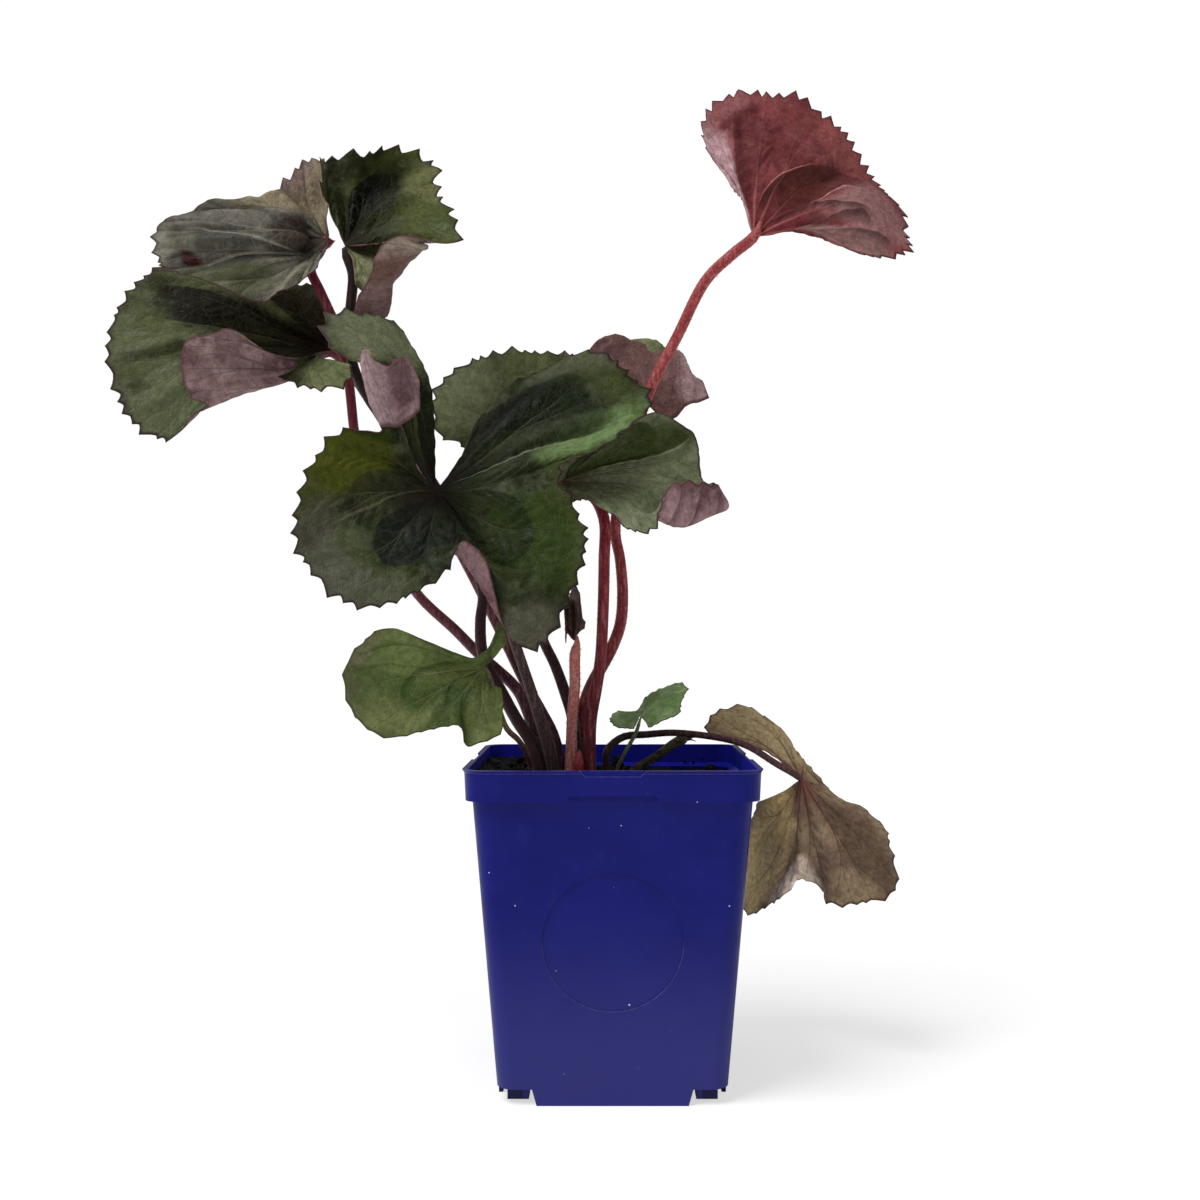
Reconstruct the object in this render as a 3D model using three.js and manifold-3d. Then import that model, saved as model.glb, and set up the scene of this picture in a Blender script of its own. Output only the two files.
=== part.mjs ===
// A young ligularia in its square nursery pot. Millimetres, +Z up, the front of the pot faces -Y.
// The origin is the middle of the pot's underside, on the surface that it stands on.
import * as THREE from "three";
import { ConvexGeometry } from "three/addons/geometries/ConvexGeometry.js";
import { mergeVertices } from "three/addons/utils/BufferGeometryUtils.js";
import Module from "manifold-3d";

const wasm = await Module();
wasm.setup();

// Driving sizes of the pot
const RIM_WIDTH = 110;
const POT_HEIGHT = 124.5;
const BAND_WIDTH = 108.6;
const BAND_HEIGHT = 11.4;
const BAND_TAPER = 1;
const LIP_HEIGHT = 1.2;
const BODY_TOP_WIDTH = 103;
const BODY_FOOT_WIDTH = 86;
const BODY_FOOT_HEIGHT = 6;
const WALL = 1.5;
const FLOOR_TOP = 8;
const RIM_CORNER = 8;
const THUMB_NOTCH_WIDTH = 26;
const THUMB_NOTCH_DEPTH = 2.2;
const THUMB_NOTCH_SLANT = 3;
const THUMB_NOTCH_CUT = 0.5;
const BAND_LIFT_WIDTH = 31;
const BAND_LIFT = 2.2;
const BAND_LIFT_SLANT = 2;
const BAND_LIFT_INSET = 0.2;
const PANEL_RADIUS = 25.9;
const PANEL_HEIGHT = 61;
const PANEL_DEPTH = 0.5;
const PANEL_CUT = 4;
const PANEL_SIDES = 48;
const TAB_WIDTH = 60;
const TAB_THICKNESS = 1.6;
const TAB_SLANT = 2;
const DRAIN_RADIUS = 5;
const DRAIN_SPREAD = 25;
const CENTRE_PAD_RADIUS = 9;
const CORNER_FOOT = 8;
const CORNER_FOOT_GAP = 1.2;
const BAND_LOW = POT_HEIGHT - BAND_HEIGHT;
const SHOULDER_LOW = BAND_LOW + BAND_LIFT;
const CORNERS = [[1, 1], [-1, 1], [-1, -1], [1, -1]];

// How far cutters and joined pieces run into or past their neighbours
const CUT_PAST = 1;
const OVERLAP = 0.01;
const FINEST_DETAIL = 0.02;

// Driving sizes of the soil and the plant
const CLEARANCE = 0.3;
const SOIL_LEVEL = 115.5;
const SOIL_RISE = 4.5;
const SOIL_DROP = 2.5;
const SOIL_CELLS = 10;
const CRUMB_COUNT = 20;
const CRUMB_SEED = 77;
const CRUMB_SPREAD = 88;
const CRUMB_SIZES = [1.4, 3.8];
const HOLE_FLOOR = 106;
const HOLE_CLEARANCE = 0.8;
const HOLE_STEP = 4;
const HOLE_LENGTH = 24;
const FOOT_LEVEL = HOLE_FLOOR + 2 * CLEARANCE;
const BLADE_THICKNESS = 0.8;
const RIB_HEIGHT = 0.8;
const GROOVE_SHARE = 0.4;
const RIB_START = 0.4;
const NEAR_MARGIN = 0.94;
const TOOTH_LEAN = [0.42, 0.64];
const TOOTH_SIZE = [0.65, 1.15];
const PLAIN_SHARE = 0.2;
const FIRST_LEAF_SEED = 101;
const CELL = 8.5;
const RING_PLACES = [0.1, 0.26, 0.44, 0.62, 0.78, 0.91];
const STEM_SIDES = 8;
const STEM_STEP = 12;
const STEM_RUN_OUT = 0.09;
const STEM_END_SHARE = 0.6;
const TAPER_SHARE = 0.4;
const SEAM_BULGE = 0.3;

// The leaves. Each has its heart, where the stem meets the blade, the stem's route from the soil
// upwards, and rays from the heart to the margin along its main veins. A ray's last point is on the
// margin, and the points before it give its bend. Seen from the upper face the rays run
// anticlockwise, and the gap between the last and the first is the cleft over the stem.
const leafBurgundy = {
  name: "leaf_burgundy",
  color: 0x6e373c,
  footRadius: 3.0,
  topRadius: 2.2,
  toothSpacing: 5.6,
  toothHeight: 3.9,
  plainMargins: [],
  heart: [55.5, -10, 329.5],
  petiole: [
    [-9.5, 5, 119], [-12, 7, 139], [-9, 8, 150.5], [0, 9, 167.5], [3.5, 9, 177], [4.5, 9, 189],
    [3.5, 9, 203.5], [1.5, 9, 215.5], [6.5, 7, 244], [15.5, 3, 271.5], [26.5, 0, 293],
    [37.5, -4, 314], [47.5, -8, 323],
  ],
  rays: [
    [[54, -2, 341.5], [52, 4, 350]],
    [[51.5, 2, 351], [39.5, 10, 370.5]],
    [[51, 0, 354.5], [37.5, 10, 376.5]],
    [[52, -4, 357.5], [40.5, 8, 385.5]],
    [[54, -8, 358.5], [49, 8, 391]],
    [[57, -10, 359], [59.5, 8, 391.5]],
    [[61.5, -10, 359], [73, 8, 391]],
    [[68, -9, 357], [87, 10, 383.5]],
    [[72, -7, 353.5], [96, 12, 375]],
    [[75.5, -5, 349.5], [102, 12, 364]],
    [[79, -7, 344], [102, 2, 353.5], [114.5, 6, 347]],
    [[78.5, -10, 339], [98.5, -8, 342.5], [117, -2, 333.5]],
    [[79.5, -11, 335], [97.5, -13, 333], [114, -10, 324]],
    [[78.5, -11, 332], [99.5, -14, 321]],
    [[70, -10, 331.5], [86.5, -12, 327]],
  ],
};

const leafCup = {
  name: "leaf_cup",
  color: 0x36472a,
  footRadius: 2.8,
  topRadius: 2.1,
  toothSpacing: 8.0,
  toothHeight: 4.6,
  plainMargins: [[0, 7.6]],
  heart: [-106, -4, 327.5],
  petiole: [
    [-28, -8, 120.5], [-32, -6, 131], [-37.5, -4, 139], [-43.5, -2, 149.5], [-51.5, 0, 165],
    [-52.5, 0, 179], [-51.5, 0, 188], [-54.5, 0, 201], [-63, 2, 219], [-75.5, 4, 239.5],
    [-90.5, 5, 258], [-98.5, 5, 269], [-104, 3, 281.5], [-105.5, 1, 295.5], [-104, -1, 307],
    [-103, -3, 316.5],
  ],
  rays: [
    [[-102.5, -7, 320.5], [-101, -9, 310.5]],
    [[-99, -6, 319], [-93.5, -9, 304]],
    [[-93.5, -5, 318.5], [-88.5, -10, 298.5], [-99.5, -18, 297]],
    [[-88.5, -6, 322], [-86.5, -11, 309], [-97.5, -19, 304.5]],
    [[-86, -8, 325], [-80, -13, 317], [-93, -20, 311.5]],
    [[-84, -9, 326], [-74, -15, 322.5], [-91, -21, 318.5]],
    [[-83, -10, 327], [-72, -16, 324], [-86, -21, 325]],
    [[-82, -10, 327.5], [-72.5, -16, 325], [-77, -20, 326.5]],
    [[-82, -9, 331], [-61, -19, 325.5]],
    [[-84.5, -3, 339], [-64, -13, 337.5]],
    [[-87, 2, 347], [-71, -6, 349.5]],
    [[-90.5, 6, 353], [-70, -4, 358]],
    [[-94, 8, 355.5], [-80.5, 2, 365]],
    [[-99, 9, 356], [-90.5, 4, 368.5]],
    [[-104.5, 9, 354], [-102, 6, 366]],
    [[-108.5, 8, 349.5], [-110.5, 8, 366]],
    [[-111, 5, 344.5], [-117, 8, 363.5]],
    [[-111, 1, 338.5], [-116, 2, 349.5]],
  ],
};

const leafGrey = {
  name: "leaf_grey",
  color: 0x6a6a64,
  footRadius: 2.7,
  topRadius: 2.0,
  toothSpacing: 4.8,
  toothHeight: 2.6,
  plainMargins: [[4, 7], [9.5, 14]],
  heart: [-114.5, 5, 333],
  petiole: [
    [-27.5, 1, 119.5], [-34, 3, 143], [-38.5, 4.5, 151.5], [-47, 6, 159.5], [-54, 7, 165.5],
    [-63.5, 8, 175], [-78, 9, 188.5], [-93, 12, 210], [-103, 15, 236.5], [-106, 15, 257.5],
    [-108, 12, 279.5], [-112, 10, 297.5], [-119, 10, 313.5], [-123, 11, 322.5], [-121, 11, 329.5],
  ],
  rays: [
    [[-115, 10, 341.5], [-116.5, 15, 352]],
    [[-118.5, 15, 345.5], [-119.5, 20, 368]],
    [[-122, 17, 347], [-126.5, 19, 369]],
    [[-125, 17, 346.5], [-133, 15, 359.5]],
    [[-126.5, 15, 344], [-137, 10, 353], [-142, 7, 349.5]],
    [[-126, 12, 340.5], [-132, 4, 344.5], [-148, -3, 343.5], [-159, -3, 345.5]],
    [[-125, 10, 337], [-126.5, 0, 339], [-147, -7, 339.5], [-169, -5, 340.5]],
    [[-124, 9, 334.5], [-124, -3, 334], [-146, -11, 333.5], [-179.5, -6, 335.5]],
    [[-123, 8, 332], [-122.5, -5, 329.5], [-145.5, -13, 328], [-180, -7, 329]],
    [[-122.5, 6, 329.5], [-125.5, -5, 325], [-147.5, -12, 322.5], [-176, -9, 318]],
    [[-121.5, 3, 326.5], [-127.5, -6, 322], [-147, -13, 315], [-162.5, -13, 312.5]],
    [[-120.5, 1, 325], [-126, -8, 318.5], [-139.5, -17, 303]],
    [[-118.5, 0, 324.5], [-123, -9, 316], [-129.5, -16, 306]],
    [[-116.5, 1, 326], [-119, -5, 320], [-121, -11, 313]],
    [[-114.5, 2, 329], [-116, -2, 323.5], [-116.5, -6, 318.5]],
  ],
};

const leafBroad = {
  name: "leaf_broad",
  color: 0x3f4e32,
  footRadius: 2.6,
  topRadius: 2.1,
  toothSpacing: 5.6,
  toothHeight: 3.0,
  plainMargins: [[11, 18]],
  heart: [-115.5, 22, 291.5],
  petiole: [
    [-20.5, 0.5, 119.5], [-23.5, 3, 132.5], [-28.5, 6, 142], [-33.5, 9, 150.5], [-44, 14, 171],
    [-59, 20, 200], [-80.5, 26, 238], [-102, 28, 272], [-111.5, 25, 286],
  ],
  rays: [
    [[-118, 20, 303], [-122, 20, 317.5]],
    [[-127.5, 17, 305], [-140.5, 18, 319]],
    [[-136, 13, 304], [-162.5, 16, 326]],
    [[-146.5, 9, 304], [-184, 12, 323]],
    [[-152, 5, 301], [-194.5, 6, 311]],
    [[-153, 1, 297], [-199, 0, 298]],
    [[-153.5, -1, 292.5], [-199.5, -5, 284.5]],
    [[-152, -3, 288], [-194, -9, 269]],
    [[-149.5, -4, 284], [-188, -12, 258]],
    [[-145, -5, 281], [-174.5, -12, 250]],
    [[-140.5, -5, 277.5], [-163.5, -12, 258.5]],
    [[-130, 1, 275.5], [-146, -8, 268], [-158.5, -13, 263.5]],
    [[-129, -5, 276.5], [-146.5, -15, 272.5], [-164, -20, 268]],
    [[-129, -7, 278.5], [-146, -18, 278.5], [-165, -23, 277.5]],
    [[-129, -7, 280.5], [-147, -18, 285], [-163, -23, 285.5]],
    [[-128, -6, 282], [-143, -15, 286], [-154, -21, 289]],
    [[-126, -3, 283], [-137, -11, 284.5], [-146, -17, 291]],
    [[-124.5, -1, 283], [-135, -7, 277.5]],
    [[-122.5, 3, 283.5], [-123.5, -5, 277.5], [-126, -8, 273]],
    [[-120.5, 6, 285], [-119.5, -4, 278.5], [-116, -8, 270.5]],
    [[-120, 8, 286.5], [-116, -3, 281], [-106.5, -7, 272.5]],
    [[-119, 11, 288], [-116, 0, 284], [-102.5, -7, 279.5]],
  ],
};

const leafFront = {
  name: "leaf_front",
  color: 0x35432c,
  footRadius: 2.8,
  topRadius: 2.1,
  toothSpacing: 6.8,
  toothHeight: 3.8,
  plainMargins: [[2.8, 8.5], [15, 18]],
  heart: [-67, -28, 227.5],
  petiole: [
    [-23, -11, 121], [-29, -12, 143], [-37, -16, 168], [-43, -20, 186.5], [-51.5, -23, 205.5],
    [-61, -25, 221.5],
  ],
  rays: [
    [[-68, -26, 247.5], [-70.5, -22, 268], [-80, -20, 290.5]],
    [[-70, -29, 249], [-77.5, -29, 274], [-92, -27, 295]],
    [[-72.5, -31, 246.5], [-82, -37, 275], [-106, -36, 291.5]],
    [[-73, -32, 246.5], [-75.5, -38, 268.5], [-83.5, -43, 274], [-95, -46, 274], [-100.5, -48, 276]],
    [[-73.5, -32, 246], [-76, -34, 264], [-82.5, -34, 277.5]],
    [[-74, -33, 245.5], [-76, -34, 264], [-77, -38, 275.5], [-71, -47, 265.5], [-70.5, -50, 256]],
    [[-75.5, -33, 245], [-78.5, -35, 265], [-83.5, -39, 276.5], [-80.5, -49, 262.5], [-77, -52, 249]],
    [[-77, -33, 244], [-83, -36, 264], [-92.5, -41, 276], [-89, -50, 262], [-83, -53, 248]],
    [[-78.5, -33, 242.5], [-82, -37, 246.5], [-87.5, -40, 248.5]],
    [[-82.5, -33, 239.5], [-100, -38, 248.5]],
    [[-87.5, -35, 235], [-110.5, -43, 235]],
    [[-91, -38, 225], [-115, -47, 215]],
    [[-88.5, -42, 214], [-111, -51, 200.5]],
    [[-82.5, -44, 205.5], [-94, -54, 185]],
    [[-74, -42, 202.5], [-77, -50, 186.5]],
    [[-66.5, -38, 206], [-61, -44, 198]],
    [[-61.5, -36, 213], [-57, -42, 202.5], [-54.5, -46, 208]],
    [[-56.5, -38, 210.5], [-49.5, -44, 193], [-46, -49, 199]],
    [[-50.5, -41, 203], [-37.5, -50, 172]],
    [[-44.5, -43, 198], [-25.5, -52, 170.5]],
    [[-38.5, -42, 201], [-18, -48, 184.5]],
    [[-36, -39, 210.5], [-10.5, -42, 205.5]],
    [[-40, -34, 222.5], [-14.5, -36, 220.5]],
    [[-42.5, -32, 229.5], [-21.5, -30, 235]],
    [[-38, -30, 237.5], [-4.5, -26, 244.5]],
    [[-31.5, -27, 244], [7, -20, 254]],
    [[-27.5, -23, 251], [14.5, -14, 264]],
    [[-31, -19, 256], [6.5, -5, 276]],
    [[-37, -15, 260], [-5.5, 2, 286]],
    [[-43, -12, 259], [-21, 5, 283]],
    [[-50, -12, 253], [-39, 0, 273]],
    [[-59, -18, 241.5], [-53, -8, 258.5]],
  ],
};

const leafBehind = {
  name: "leaf_behind",
  color: 0x4d5a3c,
  footRadius: 2.8,
  topRadius: 2.1,
  toothSpacing: 6.8,
  toothHeight: 2.9,
  plainMargins: [[0, 3]],
  heart: [-19.5, 26, 254.5],
  petiole: [
    [-14.5, -1, 120], [-15.5, 1, 139], [-18.5, 3, 149], [-23, 6, 161], [-28, 8, 171.5],
    [-31.5, 12, 187], [-29.5, 18, 212], [-25, 23, 237.5],
  ],
  rays: [
    [[16, 30, 270.5], [36.5, 32, 282], [41, 28, 272.5]],
    [[9.5, 31, 274], [28.5, 33, 293], [32.5, 23, 269]],
    [[1, 33, 278], [17.5, 35, 299.5], [22, 22, 263.5]],
    [[-8.5, 34, 279], [-3.5, 34, 300], [4, 26, 280.5]],
    [[-17, 33, 276], [-15.5, 33, 290.5]],
    [[-26, 29, 272], [-27.5, 29, 291.5]],
    [[-36.5, 25, 271.5], [-42.5, 25, 291]],
    [[-44.5, 21, 270], [-54, 21, 287.5]],
    [[-50.5, 18, 266], [-67, 14, 279]],
    [[-52.5, 16, 261.5], [-72, 10, 268]],
    [[-51.5, 16, 257.5], [-69.5, 10, 254.5]],
    [[-44, 19, 253], [-60, 16, 250.5]],
    [[-37.5, 22, 247.5], [-50, 22, 239.5]],
    [[-28, 24, 243.5], [-31, 27, 229.5]],
    [[-15, 26, 245], [-10, 29, 233]],
    [[-4, 28, 251], [12, 31, 243.5]],
  ],
};

const leafRight = {
  name: "leaf_right",
  color: 0x46543c,
  footRadius: 3.1,
  topRadius: 2.3,
  toothSpacing: 7.0,
  toothHeight: 3.2,
  plainMargins: [[5.6, 15]],
  heart: [-19.5, -9, 233.5],
  petiole: [
    [-9, -6, 120.5], [-8.5, -6, 139], [-6, -7, 153], [-4.5, -8, 163], [-3.5, -9, 180.5],
    [-3, -9, 202.5], [-3, -7, 218.5], [-7, -4, 227.5], [-13, -2, 231.5],
  ],
  rays: [
    [[-20.5, -12, 231.5], [-21, -15, 229.5]],
    [[-17, -14, 229], [-15, -18, 225.5]],
    [[-13, -16, 228], [-8, -21, 224]],
    [[-8.5, -17, 227.5], [-0.5, -23, 220]],
    [[-4, -17, 226.5], [6.5, -24, 214]],
    [[2, -17, 226.5], [15, -24, 214.5]],
    [[8, -15, 228], [21.5, -21, 216], [23, -27, 230]],
    [[11, -13, 230.5], [32, -18, 216], [33.5, -25, 230.5]],
    [[11.5, -11, 234], [45.5, -13, 223], [40.5, -20, 230.5]],
    [[11.5, -9, 238], [35.5, -8, 235]],
    [[9, -6, 244], [33.5, -5, 250.5]],
    [[5, -8, 247.5], [28, -8, 255.5]],
    [[-1, -9, 248], [17, -10, 260.5]],
    [[-7.5, -9, 245], [4, -10, 254.5]],
    [[-12.5, -9, 241.5], [-7, -11, 249]],
    [[-16, -10, 238.5], [-15, -13, 244.5]],
    [[-19.5, -10, 236.5], [-20.5, -14, 239.5]],
  ],
};

const leafRound = {
  name: "leaf_round",
  color: 0x556b40,
  footRadius: 1.3,
  topRadius: 1.1,
  toothSpacing: 13.0,
  toothHeight: 1.2,
  plainMargins: [],
  heart: [-48, -34, 161],
  petiole: [
    [-31.5, -14, 121.5], [-35.5, -24, 132.5], [-40, -30, 138], [-43.5, -33, 148],
  ],
  rays: [
    [[-43.5, -37, 165.5], [-39, -39, 170.5]],
    [[-44.5, -39, 168.5], [-42, -43, 177.5]],
    [[-49.5, -38, 162.5], [-52, -41, 164]],
    [[-63, -43, 166], [-79, -49, 175.5]],
    [[-67, -43, 163.5], [-90.5, -53, 170]],
    [[-68, -43, 159.5], [-96.5, -55, 158.5]],
    [[-67, -43, 155.5], [-93, -55, 145.5]],
    [[-65, -43, 152.5], [-83.5, -53, 137]],
    [[-61.5, -43, 150.5], [-70, -51, 138.5]],
    [[-56, -41, 150.5], [-56.5, -47, 140.5]],
    [[-52, -40, 148.5], [-53.5, -45, 133.5]],
    [[-48.5, -39, 148.5], [-46, -45, 134.5]],
    [[-45.5, -38, 150], [-40.5, -43, 140]],
    [[-45.5, -36, 155.5], [-41.5, -39, 153.5]],
  ],
};

const leafSeedling = {
  name: "leaf_seedling",
  color: 0x6a8753,
  footRadius: 0.9,
  topRadius: 0.8,
  toothSpacing: 4.4,
  toothHeight: 0.9,
  plainMargins: [],
  heart: [11, -6, 141],
  petiole: [
    [2, -6, 119.5], [5, -7, 126.5], [9.5, -7, 134.5],
  ],
  rays: [
    [[13, -10, 139], [14, -13, 137]],
    [[17, -10, 141], [20, -14, 140]],
    [[19.5, -8, 142.5], [25.5, -12, 142.5]],
    [[20.5, -6, 145.5], [27.5, -8, 148]],
    [[20.5, -3, 148], [29.5, -4, 151.5]],
    [[19, 0, 148], [27, 1, 153.5]],
    [[16, 3, 146], [18.5, 6, 150.5]],
    [[13.5, 4, 144], [13.5, 8, 147]],
    [[10.5, 2, 142.5], [9.5, 5, 142]],
    [[7, -2, 141.5], [2.5, -2, 142.5]],
    [[6, -5, 139.5], [-0.5, -7, 140]],
    [[7, -8, 138.5], [1.5, -12, 137.5]],
    [[9.5, -9, 138], [8.5, -13, 136.5]],
  ],
};

const leafDrooping = {
  name: "leaf_drooping",
  color: 0x6b5f49,
  footRadius: 1.8,
  topRadius: 1.4,
  toothSpacing: 9.5,
  toothHeight: 2.2,
  plainMargins: [],
  heart: [79, 22, 113],
  petiole: [
    [-2, 2, 119.5], [-2, 2, 126], [4, 6, 131.5], [14.5, 9, 132.5], [25, 11, 133], [40, 12, 131.5],
    [50, 12, 129.5], [56.5, 12, 127], [67.5, 16, 120],
  ],
  rays: [
    [[72, 27, 107], [63, 40, 101]],
    [[71, 30, 98], [59.5, 54, 83]],
    [[70.5, 32, 89], [58.5, 60, 62.5]],
    [[70.5, 30, 82], [60, 54, 50]],
    [[72.5, 25, 82], [68, 40, 57]],
    [[75.5, 20, 83.5], [72.5, 29, 63]],
    [[78.5, 17, 85], [77.5, 15, 77], [79.5, 21, 71.5]],
    [[82.5, 14, 85.5], [84, 11, 76.5], [85.5, 15, 69]],
    [[87.5, 10, 85.5], [88.5, 8, 64.5]],
    [[92.5, 8, 87.5], [100.5, 3, 65.5]],
    [[96.5, 8, 90.5], [113.5, 2, 71]],
    [[97, 10, 95.5], [112.5, 5, 86]],
    [[96, 14, 101], [110.5, 10, 95]],
    [[90.5, 18, 106.5], [103, 16, 102]],
    [[84.5, 21, 110.5], [92.5, 21, 106]],
    [[80, 23, 117.5], [78, 26, 123.5]],
    [[75, 26, 126.5], [68, 32, 136]],
    [[69.5, 28, 130.5], [58, 36, 142]],
    [[65, 28, 130.5], [46, 38, 140]],
    [[63, 27, 127.5], [41, 37, 134.5]],
    [[64.5, 24, 124], [42, 32, 129]],
  ],
};

const leafWithered = {
  name: "leaf_withered",
  color: 0x4a2a20,
  footRadius: 3.0,
  topRadius: 2.2,
  toothSpacing: 3.0,
  toothHeight: 0.8,
  plainMargins: [],
  heart: [-15, -11, 171],
  petiole: [
    [-16, -10, 121], [-15.5, -11, 142], [-14.5, -11, 153], [-14.5, -11, 165],
  ],
  rays: [
    [[-13, -13, 174], [-11, -15, 175.5]],
    [[-12.5, -14, 179.5], [-12.5, -15, 185]],
    [[-14, -12, 183], [-14.5, -12, 192]],
    [[-16, -8, 182], [-17.5, -8, 186]],
    [[-18, -9, 178], [-18.5, -12, 183.5]],
    [[-17.5, -13, 174], [-18, -15, 170]],
  ],
};
const LEAVES = [
  leafBurgundy,
  leafCup,
  leafGrey,
  leafBroad,
  leafFront,
  leafBehind,
  leafRight,
  leafRound,
  leafSeedling,
  leafDrooping,
  leafWithered,
];

// The broken stalk's route, and how far its torn fibres reach past its end
const DEAD_STALK = {
  footRadius: 1.5,
  topRadius: 2.2,
  sides: 7,
  fibreRadii: [1.2, 0.6],
  fibreSides: 5,
  route: [[8, 9, 118], [18, 18, 122.5], [25.5, 27, 126.5], [31.5, 33, 129]],
  fibres: [[4, 2, 1.5], [3, 4.5, -0.5], [4.5, 1, -1.5]],
};

// Seeded draws, so that the teeth and crumbs fall alike each time
function makeDraw(seed) {
  let state = seed;
  return function draw() {
    state = (state * 16807) % 2147483647;
    return state / 2147483647;
  };
}

// Solids for joining and cutting
function toSolid(geometry) {
  const bare = geometry.clone();
  bare.deleteAttribute("normal");
  bare.deleteAttribute("uv");
  const merged = mergeVertices(bare, 1e-4);
  const vertProperties = new Float32Array(merged.attributes.position.array);
  const triVerts = new Uint32Array(merged.index.array);
  return new wasm.Manifold(new wasm.Mesh({ numProp: 3, vertProperties, triVerts }));
}

// Drops loose scraps, and fills any hollow that joining has sealed
function largestBody(solid) {
  const bodies = solid.decompose();
  return bodies.reduce((best, body) => (body.volume() > best.volume() ? body : best));
}

function hullSolid(points) {
  return toSolid(new ConvexGeometry(points));
}

function toGeometry(solid) {
  const mesh = largestBody(solid.simplify(FINEST_DETAIL)).getMesh();
  const geometry = new THREE.BufferGeometry();
  geometry.setAttribute("position", new THREE.BufferAttribute(new Float32Array(mesh.vertProperties), 3));
  geometry.setIndex(new THREE.BufferAttribute(new Uint32Array(mesh.triVerts), 1));
  geometry.computeVertexNormals();
  return geometry;
}

// A body on four walls with round corners, wider at the top than at the foot
function squareBody(footWidth, topWidth, topCorner, low, high) {
  const half = topWidth / 2;
  const reach = half - topCorner;
  const outline = new THREE.Shape();
  outline.moveTo(-reach, -half);
  outline.lineTo(reach, -half);
  outline.absarc(reach, -reach, topCorner, -Math.PI / 2, 0);
  outline.lineTo(half, reach);
  outline.absarc(reach, reach, topCorner, 0, Math.PI / 2);
  outline.lineTo(-reach, half);
  outline.absarc(-reach, reach, topCorner, Math.PI / 2, Math.PI);
  outline.lineTo(-half, -reach);
  outline.absarc(-reach, -reach, topCorner, Math.PI, 1.5 * Math.PI);
  const geometry = new THREE.ExtrudeGeometry(outline, {
    depth: high - low,
    bevelEnabled: false,
    curveSegments: 6,
  });
  const place = geometry.attributes.position;
  for (let i = 0; i < place.count; i += 1) {
    const share = place.getZ(i) / (high - low);
    const scale = THREE.MathUtils.lerp(footWidth / topWidth, 1, share);
    place.setXYZ(i, place.getX(i) * scale, place.getY(i) * scale, place.getZ(i) + low);
  }
  return toSolid(geometry);
}

function block(sizeX, sizeY, sizeZ, x, y, z) {
  return toSolid(new THREE.BoxGeometry(sizeX, sizeY, sizeZ).translate(x, y, z));
}

function upright(radius, low, high, x, y, sides = 24) {
  const geometry = new THREE.CylinderGeometry(radius, radius, high - low, sides);
  return toSolid(geometry.rotateX(Math.PI / 2).translate(x, y, (low + high) / 2));
}

// A bar along one side's edge, with slanted ends, that cuts a notch there
function notchBar(width, slant, low, high, outer, inner) {
  const outline = new THREE.Shape();
  outline.moveTo(-width / 2 + slant, low);
  outline.lineTo(width / 2 - slant, low);
  outline.lineTo(width / 2, high);
  outline.lineTo(-width / 2, high);
  const bar = new THREE.ExtrudeGeometry(outline, { depth: outer - inner, bevelEnabled: false });
  return bar.rotateX(Math.PI / 2).translate(0, -inner, 0);
}

function onEachSide(geometry) {
  const quarters = [0, 1, 2, 3];
  return quarters.map((quarter) => toSolid(geometry.clone().rotateZ((quarter * Math.PI) / 2)));
}

// Half the width of the body's outer wall at a height
function bodyHalf(height) {
  const share = (height - BODY_FOOT_HEIGHT) / (BAND_LOW - BODY_FOOT_HEIGHT);
  return THREE.MathUtils.lerp(BODY_FOOT_WIDTH, BODY_TOP_WIDTH, share) / 2;
}

// The pot: one moulded piece with a rim band, a thin lip, thumb notches and a footed base
function potSolid() {
  let pot = squareBody(BODY_FOOT_WIDTH, BODY_TOP_WIDTH, RIM_CORNER, BODY_FOOT_HEIGHT, BAND_LOW);
  pot = pot.add(squareBody(BAND_WIDTH - BAND_TAPER, BAND_WIDTH, RIM_CORNER, BAND_LOW, POT_HEIGHT));
  pot = pot.add(squareBody(BAND_WIDTH, RIM_WIDTH, RIM_CORNER, POT_HEIGHT - LIP_HEIGHT, POT_HEIGHT));
  for (const bar of [...bandLifts(), ...thumbNotches()]) {
    pot = pot.subtract(bar);
  }
  for (const foot of [...sideTabs(), ...cornerFeet()]) {
    pot = pot.add(foot);
  }
  pot = pot.add(upright(CENTRE_PAD_RADIUS, 0, BODY_FOOT_HEIGHT + CUT_PAST, 0, 0));
  for (const space of [...potInside(0), ...drains(), panelCutter()]) {
    pot = pot.subtract(space);
  }
  return pot;
}

// Where the rim band's lower edge steps up in the middle of each side
function bandLifts() {
  const wall = bodyHalf(BAND_LOW) + BAND_LIFT_INSET;
  const low = BAND_LOW - CUT_PAST;
  return onEachSide(notchBar(BAND_LIFT_WIDTH, -BAND_LIFT_SLANT, low, SHOULDER_LOW, RIM_WIDTH, wall));
}

// Where the outer lip dips under a thumb in the middle of each side
function thumbNotches() {
  const low = POT_HEIGHT - THUMB_NOTCH_DEPTH;
  const high = POT_HEIGHT + CUT_PAST;
  const inner = BAND_WIDTH / 2 - THUMB_NOTCH_CUT;
  return onEachSide(notchBar(THUMB_NOTCH_WIDTH, THUMB_NOTCH_SLANT, low, high, RIM_WIDTH, inner));
}

// The tabs under the middle of each wall, which the pot stands on
function sideTabs() {
  const outer = BODY_FOOT_WIDTH / 2;
  const high = BODY_FOOT_HEIGHT + CUT_PAST;
  return onEachSide(notchBar(TAB_WIDTH, TAB_SLANT, 0, high, outer, outer - TAB_THICKNESS));
}

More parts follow.
